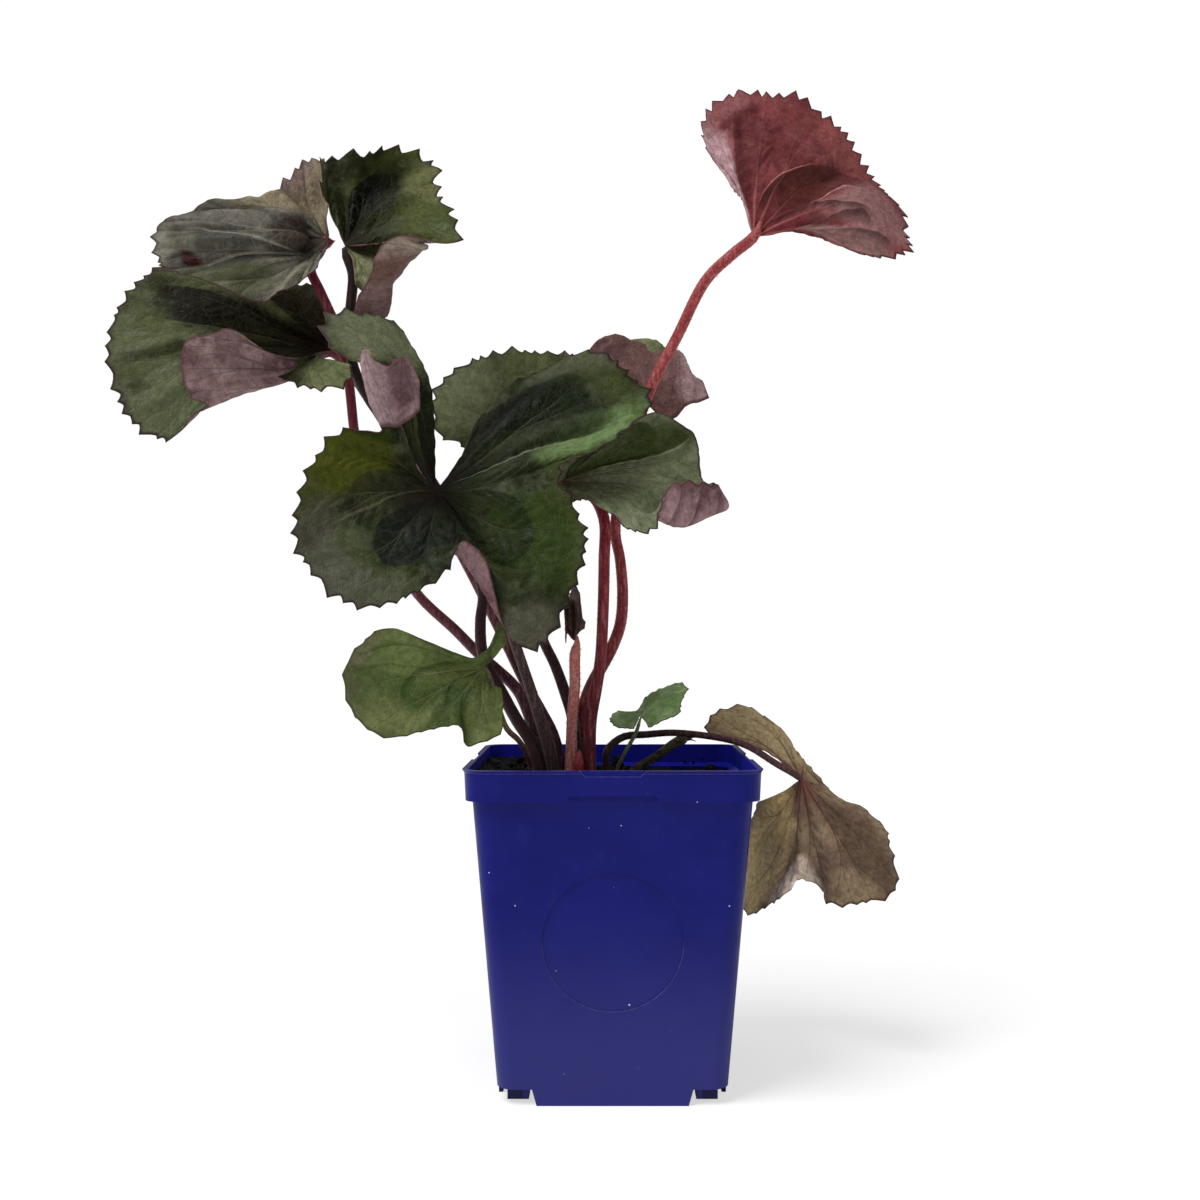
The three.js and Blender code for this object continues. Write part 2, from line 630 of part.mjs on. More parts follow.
function cornerFeet() {
  const place = BODY_FOOT_WIDTH / 2 - CORNER_FOOT;
  const height = BODY_FOOT_HEIGHT + CUT_PAST - CORNER_FOOT_GAP;
  const middle = CORNER_FOOT_GAP + height / 2;
  return CORNERS.map(([x, y]) => block(CORNER_FOOT, CORNER_FOOT, height, x * place, y * place, middle));
}

function drains() {
  return CORNERS.map(([x, y]) => {
    return upright(DRAIN_RADIUS, 0, FLOOR_TOP + CUT_PAST, x * DRAIN_SPREAD, y * DRAIN_SPREAD, 16);
  });
}

// The pot's inside in three stretches, or what fills it when a gap is kept to the wall
function potInside(gap) {
  const bodyWidth = BODY_TOP_WIDTH - 2 * (WALL + gap);
  const bandWidth = BAND_WIDTH - 2 * (WALL + gap);
  const floor = FLOOR_TOP + gap;
  const floorWidth = 2 * (bodyHalf(floor) - WALL - gap);
  const corner = RIM_CORNER - WALL - gap;
  const low = SHOULDER_LOW + gap;
  const high = low + WALL;
  return [
    squareBody(floorWidth, bodyWidth, corner, floor, low),
    squareBody(bodyWidth, bandWidth, corner, low - OVERLAP, high),
    squareBody(bandWidth, bandWidth, corner, high - OVERLAP, POT_HEIGHT + CUT_PAST),
  ];
}

// The shallow round panel on the front wall, left bare
function panelCutter() {
  const slope = bodyHalf(PANEL_HEIGHT + 1) - bodyHalf(PANEL_HEIGHT);
  const disc = new THREE.CylinderGeometry(PANEL_RADIUS, PANEL_RADIUS, PANEL_CUT, PANEL_SIDES);
  disc.translate(0, PANEL_DEPTH - PANEL_CUT / 2, 0);
  disc.rotateX(Math.atan(slope));
  return toSolid(disc.translate(0, -bodyHalf(PANEL_HEIGHT), PANEL_HEIGHT));
}

// Triangles between two rows of points whose places along the row are known
function zip(lowRow, highRow, triangles) {
  let i = 0;
  let j = 0;
  while (i < lowRow.length - 1 || j < highRow.length - 1) {
    const canLow = i < lowRow.length - 1;
    const canHigh = j < highRow.length - 1;
    const lowNext = canLow ? lowRow[i + 1].u + lowRow[i].u : Infinity;
    const highNext = canHigh ? highRow[j + 1].u + highRow[j].u : Infinity;
    if (canLow && lowNext <= highNext) {
      triangles.push([lowRow[i].index, highRow[j].index, lowRow[i + 1].index]);
      i += 1;
    } else {
      triangles.push([lowRow[i].index, highRow[j].index, highRow[j + 1].index]);
      j += 1;
    }
  }
}

const toVector = (point) => new THREE.Vector3(...point);

// The middle surface of a blade: u runs over the rays, v from the heart to the margin
function bladeSurface(leaf) {
  const heart = toVector(leaf.heart);
  const curves = leaf.rays.map((ray) => {
    return new THREE.CatmullRomCurve3([heart, ...ray.map(toVector)], false, "centripetal");
  });
  const rows = new Map();
  return function at(u, v) {
    if (!rows.has(v)) {
      const points = curves.map((curve) => curve.getPointAt(v));
      rows.set(v, new THREE.CatmullRomCurve3(points, false, "catmullrom", 0.5));
    }
    return rows.get(v).getPoint(u / (curves.length - 1));
  };
}

// Places along one row: every ray, and even steps between the rays
function rowPlaces(leaf, at, v, cell, least = 1) {
  const places = [];
  const last = leaf.rays.length - 1;
  for (let i = 0; i < last; i += 1) {
    const gap = at(i, v).distanceTo(at(i + 1, v));
    const steps = Math.max(least, Math.round(gap / cell));
    for (let k = 0; k < steps; k += 1) {
      places.push(i + k / steps);
    }
  }
  places.push(last);
  return places;
}

// The toothed margin: a notch at each even place and a tooth's point between
function marginRow(leaf, at, draw) {
  const notches = rowPlaces(leaf, at, 1, leaf.toothSpacing);
  const row = [];
  notches.forEach((u, i) => {
    row.push({ u, reach: 0 });
    if (i < notches.length - 1) {
      const lean = THREE.MathUtils.lerp(...TOOTH_LEAN, draw());
      const toothed = leaf.plainMargins.every(([first, last]) => u < first || u >= last);
      const size = THREE.MathUtils.lerp(...TOOTH_SIZE, draw());
      const reach = (toothed ? 1 : PLAIN_SHARE) * leaf.toothHeight * size;
      row.push({ u: u + (notches[i + 1] - u) * lean, reach });
    }
  });
  return row;
}

// One closed blade with alike triangles on both faces, and raised ribs under the rays
function bladeSolid(leaf, draw) {
  const at = bladeSurface(leaf);
  const points = [toVector(leaf.heart)];
  const ribs = [0];
  const rows = RING_PLACES.map((v) => {
    return rowPlaces(leaf, at, v, CELL).map((u) => {
      points.push(at(u, v));
      ribs.push(Number.isInteger(u) ? RIB_HEIGHT * (1 - v) * Math.min(1, v / RIB_START) : 0);
      return { u, index: points.length - 1 };
    });
  });
  const margin = marginRow(leaf, at, draw).map(({ u, reach }) => {
    const edge = at(u, 1);
    const outward = edge.clone().sub(at(u, NEAR_MARGIN)).normalize();
    points.push(edge.addScaledVector(outward, reach));
    ribs.push(0);
    return { u, index: points.length - 1 };
  });
  rows.push(margin);
  const triangles = [];
  for (let i = 0; i < rows[0].length - 1; i += 1) {
    triangles.push([0, rows[0][i].index, rows[0][i + 1].index]);
  }
  for (let k = 0; k < rows.length - 1; k += 1) {
    zip(rows[k], rows[k + 1], triangles);
  }
  return thicken(points, ribs, triangles);
}

// Gives a sheet its thickness: a thin wedge stands on each triangle, the hull of its upper and lower
// points, and the wedges are joined, so that a pleat that touches itself grows together there
function thicken(points, ribs, triangles) {
  const sheet = new THREE.BufferGeometry().setFromPoints(points);
  sheet.setIndex(triangles.flat());
  sheet.computeVertexNormals();
  const upper = [];
  const lower = [];
  points.forEach((point, i) => {
    const normal = new THREE.Vector3().fromBufferAttribute(sheet.attributes.normal, i);
    upper.push(point.clone().addScaledVector(normal, BLADE_THICKNESS / 2 - GROOVE_SHARE * ribs[i]));
    lower.push(point.clone().addScaledVector(normal, -BLADE_THICKNESS / 2 - ribs[i]));
  });
  const wedges = triangles.map((triangle) => hullSolid(triangle.flatMap((i) => [upper[i], lower[i]])));
  return wasm.Manifold.union(wedges);
}

// A tapered stem along a smooth curve, one length between two rings at a time. Each length bulges a
// little into the next, so that they join soundly, and the stem's end may be drawn in.
function stemSolid(points, footRadius, topRadius, sides = STEM_SIDES, endShare = 1) {
  const curve = new THREE.CatmullRomCurve3(points.map(toVector), false, "centripetal");
  const steps = Math.max(3, Math.round(curve.getLength() / STEM_STEP));
  const frames = curve.computeFrenetFrames(steps, false);
  const rings = [];
  for (let step = 0; step <= steps; step += 1) {
    const share = step / steps;
    const drawn = step === steps ? endShare : 1;
    const radius = drawn * THREE.MathUtils.lerp(footRadius, topRadius, Math.min(1, share / TAPER_SHARE));
    const centre = curve.getPointAt(share);
    const ring = [centre.clone().addScaledVector(frames.tangents[step], SEAM_BULGE)];
    for (let side = 0; side < sides; side += 1) {
      const angle = (2 * Math.PI * side) / sides;
      const point = centre.clone().addScaledVector(frames.normals[step], radius * Math.cos(angle));
      ring.push(point.addScaledVector(frames.binormals[step], radius * Math.sin(angle)));
    }
    rings.push(ring);
  }
  return wasm.Manifold.union(rings.slice(1).map((ring, i) => hullSolid([...rings[i], ...ring])));
}

// A stem's route: straight up from its foot in the soil, and on to the heart
function stemRoute(leaf) {
  const [x, y] = leaf.petiole[0];
  return [[x, y, FOOT_LEVEL], ...leaf.petiole, leaf.heart];
}

// The stem runs on a little under the blade, where it parts into the ribs
function leafSolid(leaf, seed) {
  const at = bladeSurface(leaf);
  const runOut = at((leaf.rays.length - 1) / 2, STEM_RUN_OUT).toArray();
  const route = [...stemRoute(leaf), runOut];
  const stem = stemSolid(route, leaf.footRadius, leaf.topRadius, STEM_SIDES, STEM_END_SHARE);
  return stem.add(bladeSolid(leaf, makeDraw(seed)));
}

// The soil: a block in the pot with an uneven top that is higher at the left, and crumbs on it
function soilHeight(x, y) {
  const left = THREE.MathUtils.clamp((-x - 8) / 40, 0, 1);
  const right = THREE.MathUtils.clamp((x - 10) / 40, 0, 1);
  const hollows = 0.8 * Math.sin(x * 0.31 + 1.2) * Math.cos(y * 0.27);
  const ripples = 0.5 * Math.sin(x * 0.11 + y * 0.43);
  return SOIL_LEVEL + SOIL_RISE * left - SOIL_DROP * right + hollows + ripples;
}

function soilSolid(holes) {
  const [lower, shoulder, upper] = potInside(CLEARANCE);
  const filled = lower.add(shoulder).add(upper).intersect(spaceUnderSoilTop());
  let soil = addCrumbs(filled);
  for (const hole of holes) {
    soil = soil.subtract(hole);
  }
  return soil;
}

function spaceUnderSoilTop() {
  const sheet = new THREE.BoxGeometry(RIM_WIDTH, RIM_WIDTH, 1, SOIL_CELLS, SOIL_CELLS, 1);
  const place = sheet.attributes.position;
  for (let i = 0; i < place.count; i += 1) {
    const x = place.getX(i);
    const y = place.getY(i);
    place.setXYZ(i, x, y, place.getZ(i) > 0 ? soilHeight(x, y) : 0);
  }
  return toSolid(sheet);
}

function addCrumbs(soil) {
  const draw = makeDraw(CRUMB_SEED);
  let result = soil;
  for (let i = 0; i < CRUMB_COUNT; i += 1) {
    const x = (draw() - 0.5) * CRUMB_SPREAD;
    const y = (draw() - 0.5) * CRUMB_SPREAD;
    const size = THREE.MathUtils.lerp(...CRUMB_SIZES, draw());
    const crumb = new THREE.IcosahedronGeometry(size, 0);
    crumb.scale(1, 0.7 + 0.6 * draw(), 0.6 + 0.3 * draw());
    crumb.rotateX(draw() * 3);
    crumb.rotateZ(draw() * 3);
    crumb.translate(x, y, soilHeight(x, y) + 0.15 * size);
    result = result.add(toSolid(crumb));
  }
  return result;
}

// A plain hole in the soil for each stem
function holeSolid(route, footRadius) {
  const curve = new THREE.CatmullRomCurve3(route.map(toVector), false, "centripetal");
  const foot = curve.getPoint(0);
  const points = [[foot.x, foot.y, HOLE_FLOOR]];
  const length = curve.getLength();
  for (let reach = HOLE_STEP; reach <= HOLE_LENGTH; reach += HOLE_STEP) {
    const spot = curve.getPointAt(Math.min(1, reach / length));
    points.push([spot.x, spot.y, spot.z]);
  }
  const radius = footRadius + HOLE_CLEARANCE;
  return stemSolid(points, radius, radius);
}

// The broken old stalk that leans out of the soil, with a torn end
function deadStalkSolid() {
  const { footRadius, topRadius, sides, fibreRadii, fibreSides } = DEAD_STALK;
  const stalk = stemSolid(deadStalkRoute(), footRadius, topRadius, sides);
  const [before, end] = DEAD_STALK.route.slice(-2).map(toVector);
  const root = before.lerp(end, 0.5);
  const fibres = DEAD_STALK.fibres.map((reach) => {
    const tip = end.clone().add(toVector(reach));
    return stemSolid([root.toArray(), end.toArray(), tip.toArray()], ...fibreRadii, fibreSides);
  });
  return fibres.reduce((sum, fibre) => sum.add(fibre), stalk);
}

function deadStalkRoute() {
  const [x, y] = DEAD_STALK.route[0];
  return [[x, y, FOOT_LEVEL], ...DEAD_STALK.route];
}

function addNode(group, name, solid, color, roughness) {
  const material = new THREE.MeshStandardMaterial({ color, roughness, metalness: 0 });
  const mesh = new THREE.Mesh(toGeometry(solid), material);
  mesh.name = name;
  group.add(mesh);
}

const plant = new THREE.Group();
addNode(plant, "pot", potSolid(), 0x231f7c, 0.45);
const stemHoles = LEAVES.map((leaf) => holeSolid(stemRoute(leaf), leaf.footRadius));
stemHoles.push(holeSolid(deadStalkRoute(), DEAD_STALK.footRadius + HOLE_CLEARANCE));
addNode(plant, "soil", soilSolid(stemHoles), 0x1e1b1a, 0.95);
LEAVES.forEach((leaf, i) => {
  addNode(plant, leaf.name, leafSolid(leaf, FIRST_LEAF_SEED + i), leaf.color, 0.6);
});
addNode(plant, "dead_stalk", deadStalkSolid(), 0x1d1915, 0.9);

export default plant;
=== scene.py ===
# %% [markdown]
# # A young ligularia in its square nursery pot
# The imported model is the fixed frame: every piece made here stands where that model says, in metres,
# and it only makes the surfaces finer. The plant has broad toothed leaves on long stems, and each leaf
# is a sheet that is laid over rays running from its heart to its margin.

# %% The frame
import math
import random

import bmesh
import bpy
import numpy as np
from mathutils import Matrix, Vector
from mathutils.noise import noise as noise_at, noise_vector, turbulence


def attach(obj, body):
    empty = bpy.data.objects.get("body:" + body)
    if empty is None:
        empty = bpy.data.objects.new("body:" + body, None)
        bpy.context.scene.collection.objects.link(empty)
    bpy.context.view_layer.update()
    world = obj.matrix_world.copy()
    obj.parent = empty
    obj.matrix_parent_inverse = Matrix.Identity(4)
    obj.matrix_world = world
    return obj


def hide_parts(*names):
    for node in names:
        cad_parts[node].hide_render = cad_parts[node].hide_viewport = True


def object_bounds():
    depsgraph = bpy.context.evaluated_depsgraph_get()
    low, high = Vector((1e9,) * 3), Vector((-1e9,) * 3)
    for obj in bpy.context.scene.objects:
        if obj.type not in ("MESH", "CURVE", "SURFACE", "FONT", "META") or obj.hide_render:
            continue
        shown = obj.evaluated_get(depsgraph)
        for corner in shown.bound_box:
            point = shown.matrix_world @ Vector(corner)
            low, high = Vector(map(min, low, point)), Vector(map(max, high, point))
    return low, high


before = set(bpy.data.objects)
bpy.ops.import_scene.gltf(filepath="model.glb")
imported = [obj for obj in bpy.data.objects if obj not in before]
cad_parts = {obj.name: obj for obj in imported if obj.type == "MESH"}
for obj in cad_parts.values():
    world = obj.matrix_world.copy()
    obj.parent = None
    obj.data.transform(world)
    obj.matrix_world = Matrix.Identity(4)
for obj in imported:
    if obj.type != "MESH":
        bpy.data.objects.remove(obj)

MM = 0.001
CAD_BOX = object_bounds()
print("nodes:", sorted(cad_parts))

# %% [markdown]
# ## Camera, floor and light
# The photograph was taken level, from about half a metre in front of the pot. A wide white floor, even
# white light from all round and a soft lamp high on the left give the white ground. Only a faint shadow
# lies beside the foot of the pot, so the floor shows the camera part of a plain white over its own tone.

# %% The camera
FRAME_PIXELS = 1200
FOCAL_PIXELS = 1327
AXIS_PIXEL = (604, 627)
SENSOR_WIDTH = 36
CAMERA_PLACE = Vector((-3.2, -531, 176.2)) * MM

camera_data = bpy.data.cameras.new("camera")
camera_data.sensor_width = SENSOR_WIDTH
camera_data.lens = SENSOR_WIDTH * FOCAL_PIXELS / FRAME_PIXELS
camera_data.shift_x = (FRAME_PIXELS / 2 - AXIS_PIXEL[0]) / FRAME_PIXELS
camera_data.shift_y = (AXIS_PIXEL[1] - FRAME_PIXELS / 2) / FRAME_PIXELS
camera = bpy.data.objects.new("camera", camera_data)
camera.location = CAMERA_PLACE
camera.rotation_euler = (math.radians(90), 0, 0)
bpy.context.collection.objects.link(camera)
bpy.context.scene.camera = camera
print("camera:", tuple(round(c, 3) for c in camera.location), "lens", round(camera_data.lens, 1))

# %% Small helpers for materials
def new_node(tree, kind, **settings):
    """Adds a node and sets its options."""
    node = tree.nodes.new(kind)
    for name, value in settings.items():
        setattr(node, name, value)
    return node


def feed(tree, socket, value):
    """Links an output to a socket, or sets the socket's own value."""
    if isinstance(value, bpy.types.NodeSocket):
        tree.links.new(value, socket)
    else:
        socket.default_value = value


def calc(tree, operation, first, second=0.0, third=0.0, clamp=False):
    """A sum on one or more values."""
    node = new_node(tree, "ShaderNodeMath", operation=operation, use_clamp=clamp)
    for socket, value in zip(node.inputs, (first, second, third)):
        feed(tree, socket, value)
    return node.outputs[0]


def ramp(tree, value, low, high, start=0.0, end=1.0):
    """Turns low..high into start..end, with soft ends, and stays within them."""
    node = new_node(tree, "ShaderNodeMapRange", interpolation_type="SMOOTHSTEP")
    given = {"Value": value, "From Min": low, "From Max": high, "To Min": start, "To Max": end}
    for name, number in given.items():
        feed(tree, node.inputs[name], number)
    return node.outputs["Result"]


def mix(tree, share, first, second, mode="MIX"):
    """Mixes two colours."""
    node = new_node(tree, "ShaderNodeMix", data_type="RGBA", blend_type=mode)
    feed(tree, node.inputs[0], share)
    feed(tree, node.inputs[6], first)
    feed(tree, node.inputs[7], second)
    return node.outputs[2]


def noise(tree, place, cell, detail=3.0, roughness=0.55):
    """Cloudy noise whose lumps are about one cell across, from 0 to 1."""
    node = new_node(tree, "ShaderNodeTexNoise")
    feed(tree, node.inputs["Vector"], place)
    node.inputs["Scale"].default_value = 1 / cell
    node.inputs["Detail"].default_value = detail
    node.inputs["Roughness"].default_value = roughness
    return node.outputs["Fac"]


def colour(red, green, blue):
    """An opaque colour from 0 to 255 values as a screen shows them, in linear light."""
    shares = [channel / 255 for channel in (red, green, blue)]
    linear = [s / 12.92 if s <= 0.04045 else ((s + 0.055) / 1.055) ** 2.4 for s in shares]
    return (*linear, 1.0)


def object_place(tree):
    """The point on the piece, in the frame's metres."""
    return new_node(tree, "ShaderNodeTexCoord").outputs["Object"]


def new_material(name, roughness=0.6, specular=0.4):
    """A material with a Principled shader, whose plain values are set on the shader itself."""
    material = bpy.data.materials.new(name)
    material.use_nodes = True
    shader = material.node_tree.nodes["Principled BSDF"]
    shader.inputs["Roughness"].default_value = roughness
    shader.inputs["Specular IOR Level"].default_value = specular
    return material, material.node_tree, shader


def bump(tree, shader, height, strength, depth):
    """Feeds a height into the shader's normal."""
    node = new_node(tree, "ShaderNodeBump")
    node.inputs["Strength"].default_value = strength
    node.inputs["Distance"].default_value = depth
    feed(tree, node.inputs["Height"], height)
    tree.links.new(node.outputs["Normal"], shader.inputs["Normal"])


# %% The floor and the light
FLOOR_WASH = 0.62


def stage_floor():
    """A wide pale floor."""
    mesh = bmesh.new()
    bmesh.ops.create_grid(mesh, x_segments=1, y_segments=1, size=4)
    data = bpy.data.meshes.new("floor")
    mesh.to_mesh(data)
    mesh.free()
    floor = bpy.data.objects.new("floor", data)
    bpy.context.collection.objects.link(floor)
    material, tree, shader = new_material("floor paper", roughness=0.9, specular=0.1)
    tone = noise(tree, object_place(tree), 0.4)
    pale = mix(tree, tone, colour(250, 250, 250), colour(254, 254, 254))
    tree.links.new(pale, shader.inputs["Base Color"])
    glow = new_node(tree, "ShaderNodeEmission")
    rays = new_node(tree, "ShaderNodeLightPath")
    shown = new_node(tree, "ShaderNodeMixShader")
    feed(tree, shown.inputs[0], calc(tree, "MULTIPLY", rays.outputs["Is Camera Ray"], FLOOR_WASH))
    tree.links.new(shader.outputs[0], shown.inputs[1])
    tree.links.new(glow.outputs[0], shown.inputs[2])
    tree.links.new(shown.outputs[0], tree.nodes["Material Output"].inputs["Surface"])
    data.materials.append(material)
    return floor


def soft_daylight(name, towards, spread, strength):
    """A far, wide lamp whose light falls in one direction, with soft shadows."""
    data = bpy.data.lights.new(name, "SUN")
    data.angle = math.radians(spread)
    data.energy = strength
    lamp = bpy.data.objects.new(name, data)
    lamp.rotation_euler = Vector(towards).to_track_quat("-Z", "Y").to_euler()
    bpy.context.collection.objects.link(lamp)


def white_surround(seen, cast):
    """The world: it is seen as clean white, and it casts a softer white light."""
    world = bpy.data.worlds.new("studio")
    world.use_nodes = True
    tree = world.node_tree
    lights = tree.nodes["Background"]
    lights.inputs["Color"].default_value = (1, 1, 1, 1)
    rays = new_node(tree, "ShaderNodeLightPath")
    feed(tree, lights.inputs["Strength"], ramp(tree, rays.outputs["Is Camera Ray"], 0, 1, cast, seen))
    bpy.context.scene.world = world


LIGHT_WAY = (0.5, 0.35, -1.0)

stage_floor()
white_surround(seen=1.02, cast=0.42)
soft_daylight("window", LIGHT_WAY, spread=30, strength=2.9)
bpy.context.scene.view_settings.view_transform = "Standard"
print("floor, lamp and surround are in place")

# %% [markdown]
# ## The leaves' hearts, stems and rays
# A ligularia leaf is a round blade whose main veins run out from its heart, where the stem ends. Each
# ray below is such a vein, given in millimetres: its last point is on the margin, and the
# points before it give its bend. Seen from the upper face the rays run anticlockwise. A ray that turns
# back makes a fold, where the underside shows.

# %% Leaf shapes in millimetres
leaf_burgundy = dict(
    foot_radius=3.0,
    top_radius=2.2,
    tooth_spacing=5.6,
    tooth_height=3.9,
    plain_margins=[],
    heart=[55.5, -10, 329.5],
    petiole=[
        [-9.5, 5, 119], [-12, 7, 139], [-9, 8, 150.5], [0, 9, 167.5], [3.5, 9, 177], [4.5, 9, 189],
        [3.5, 9, 203.5], [1.5, 9, 215.5], [6.5, 7, 244], [15.5, 3, 271.5], [26.5, 0, 293],
        [37.5, -4, 314], [47.5, -8, 323],
    ],
    rays=[
        [[54, -2, 341.5], [52, 4, 350]],
        [[51.5, 2, 351], [39.5, 10, 370.5]],
        [[51, 0, 354.5], [37.5, 10, 376.5]],
        [[52, -4, 357.5], [40.5, 8, 385.5]],
        [[54, -8, 358.5], [49, 8, 391]],
        [[57, -10, 359], [59.5, 8, 391.5]],
        [[61.5, -10, 359], [73, 8, 391]],
        [[68, -9, 357], [87, 10, 383.5]],
        [[72, -7, 353.5], [96, 12, 375]],
        [[75.5, -5, 349.5], [102, 12, 364]],
        [[79, -7, 344], [102, 2, 353.5], [114.5, 6, 347]],
        [[78.5, -10, 339], [98.5, -8, 342.5], [117, -2, 333.5]],
        [[79.5, -11, 335], [97.5, -13, 333], [114, -10, 324]],
        [[78.5, -11, 332], [99.5, -14, 321]],
        [[70, -10, 331.5], [86.5, -12, 327]],
    ],
)

leaf_cup = dict(
    foot_radius=2.8,
    top_radius=2.1,
    tooth_spacing=8.0,
    tooth_height=4.6,
    plain_margins=[[0, 7.6]],
    heart=[-106, -4, 327.5],
    petiole=[
        [-28, -8, 120.5], [-32, -6, 131], [-37.5, -4, 139], [-43.5, -2, 149.5], [-51.5, 0, 165],
        [-52.5, 0, 179], [-51.5, 0, 188], [-54.5, 0, 201], [-63, 2, 219], [-75.5, 4, 239.5],
        [-90.5, 5, 258], [-98.5, 5, 269], [-104, 3, 281.5], [-105.5, 1, 295.5], [-104, -1, 307],
        [-103, -3, 316.5],
    ],
    rays=[
        [[-102.5, -7, 320.5], [-101, -9, 310.5]],
        [[-99, -6, 319], [-93.5, -9, 304]],
        [[-93.5, -5, 318.5], [-88.5, -10, 298.5], [-99.5, -18, 297]],
        [[-88.5, -6, 322], [-86.5, -11, 309], [-97.5, -19, 304.5]],
        [[-86, -8, 325], [-80, -13, 317], [-93, -20, 311.5]],
        [[-84, -9, 326], [-74, -15, 322.5], [-91, -21, 318.5]],
        [[-83, -10, 327], [-72, -16, 324], [-86, -21, 325]],
        [[-82, -10, 327.5], [-72.5, -16, 325], [-77, -20, 326.5]],
        [[-82, -9, 331], [-61, -19, 325.5]],
        [[-84.5, -3, 339], [-64, -13, 337.5]],
        [[-87, 2, 347], [-71, -6, 349.5]],
        [[-90.5, 6, 353], [-70, -4, 358]],
        [[-94, 8, 355.5], [-80.5, 2, 365]],
        [[-99, 9, 356], [-90.5, 4, 368.5]],
        [[-104.5, 9, 354], [-102, 6, 366]],
        [[-108.5, 8, 349.5], [-110.5, 8, 366]],
        [[-111, 5, 344.5], [-117, 8, 363.5]],
        [[-111, 1, 338.5], [-116, 2, 349.5]],
    ],
)

leaf_grey = dict(
    foot_radius=2.7,
    top_radius=2.0,
    tooth_spacing=4.8,
    tooth_height=2.6,
    plain_margins=[[4, 7], [9.5, 14]],
    heart=[-114.5, 5, 333],
    petiole=[
        [-27.5, 1, 119.5], [-34, 3, 143], [-38.5, 4.5, 151.5], [-47, 6, 159.5], [-54, 7, 165.5],
        [-63.5, 8, 175], [-78, 9, 188.5], [-93, 12, 210], [-103, 15, 236.5], [-106, 15, 257.5],
        [-108, 12, 279.5], [-112, 10, 297.5], [-119, 10, 313.5], [-123, 11, 322.5],
        [-121, 11, 329.5],
    ],
    rays=[
        [[-115, 10, 341.5], [-116.5, 15, 352]],
        [[-118.5, 15, 345.5], [-119.5, 20, 368]],
        [[-122, 17, 347], [-126.5, 19, 369]],
        [[-125, 17, 346.5], [-133, 15, 359.5]],
        [[-126.5, 15, 344], [-137, 10, 353], [-142, 7, 349.5]],
        [[-126, 12, 340.5], [-132, 4, 344.5], [-148, -3, 343.5], [-159, -3, 345.5]],
        [[-125, 10, 337], [-126.5, 0, 339], [-147, -7, 339.5], [-169, -5, 340.5]],
        [[-124, 9, 334.5], [-124, -3, 334], [-146, -11, 333.5], [-179.5, -6, 335.5]],
        [[-123, 8, 332], [-122.5, -5, 329.5], [-145.5, -13, 328], [-180, -7, 329]],
        [[-122.5, 6, 329.5], [-125.5, -5, 325], [-147.5, -12, 322.5], [-176, -9, 318]],
        [[-121.5, 3, 326.5], [-127.5, -6, 322], [-147, -13, 315], [-162.5, -13, 312.5]],
        [[-120.5, 1, 325], [-126, -8, 318.5], [-139.5, -17, 303]],
        [[-118.5, 0, 324.5], [-123, -9, 316], [-129.5, -16, 306]],
        [[-116.5, 1, 326], [-119, -5, 320], [-121, -11, 313]],
        [[-114.5, 2, 329], [-116, -2, 323.5], [-116.5, -6, 318.5]],
    ],
)

leaf_broad = dict(
    foot_radius=2.6,
    top_radius=2.1,
    tooth_spacing=5.6,
    tooth_height=3.0,
    plain_margins=[[11, 18]],
    heart=[-115.5, 22, 291.5],
    petiole=[
        [-20.5, 0.5, 119.5], [-23.5, 3, 132.5], [-28.5, 6, 142], [-33.5, 9, 150.5], [-44, 14, 171],
        [-59, 20, 200], [-80.5, 26, 238], [-102, 28, 272], [-111.5, 25, 286],
    ],
    rays=[
        [[-118, 20, 303], [-122, 20, 317.5]],
        [[-127.5, 17, 305], [-140.5, 18, 319]],
        [[-136, 13, 304], [-162.5, 16, 326]],
        [[-146.5, 9, 304], [-184, 12, 323]],
        [[-152, 5, 301], [-194.5, 6, 311]],
        [[-153, 1, 297], [-199, 0, 298]],
        [[-153.5, -1, 292.5], [-199.5, -5, 284.5]],
        [[-152, -3, 288], [-194, -9, 269]],
        [[-149.5, -4, 284], [-188, -12, 258]],
        [[-145, -5, 281], [-174.5, -12, 250]],
        [[-140.5, -5, 277.5], [-163.5, -12, 258.5]],
        [[-130, 1, 275.5], [-146, -8, 268], [-158.5, -13, 263.5]],
        [[-129, -5, 276.5], [-146.5, -15, 272.5], [-164, -20, 268]],
        [[-129, -7, 278.5], [-146, -18, 278.5], [-165, -23, 277.5]],
        [[-129, -7, 280.5], [-147, -18, 285], [-163, -23, 285.5]],
        [[-128, -6, 282], [-143, -15, 286], [-154, -21, 289]],
        [[-126, -3, 283], [-137, -11, 284.5], [-146, -17, 291]],
        [[-124.5, -1, 283], [-135, -7, 277.5]],
        [[-122.5, 3, 283.5], [-123.5, -5, 277.5], [-126, -8, 273]],
        [[-120.5, 6, 285], [-119.5, -4, 278.5], [-116, -8, 270.5]],
        [[-120, 8, 286.5], [-116, -3, 281], [-106.5, -7, 272.5]],
        [[-119, 11, 288], [-116, 0, 284], [-102.5, -7, 279.5]],
    ],
)

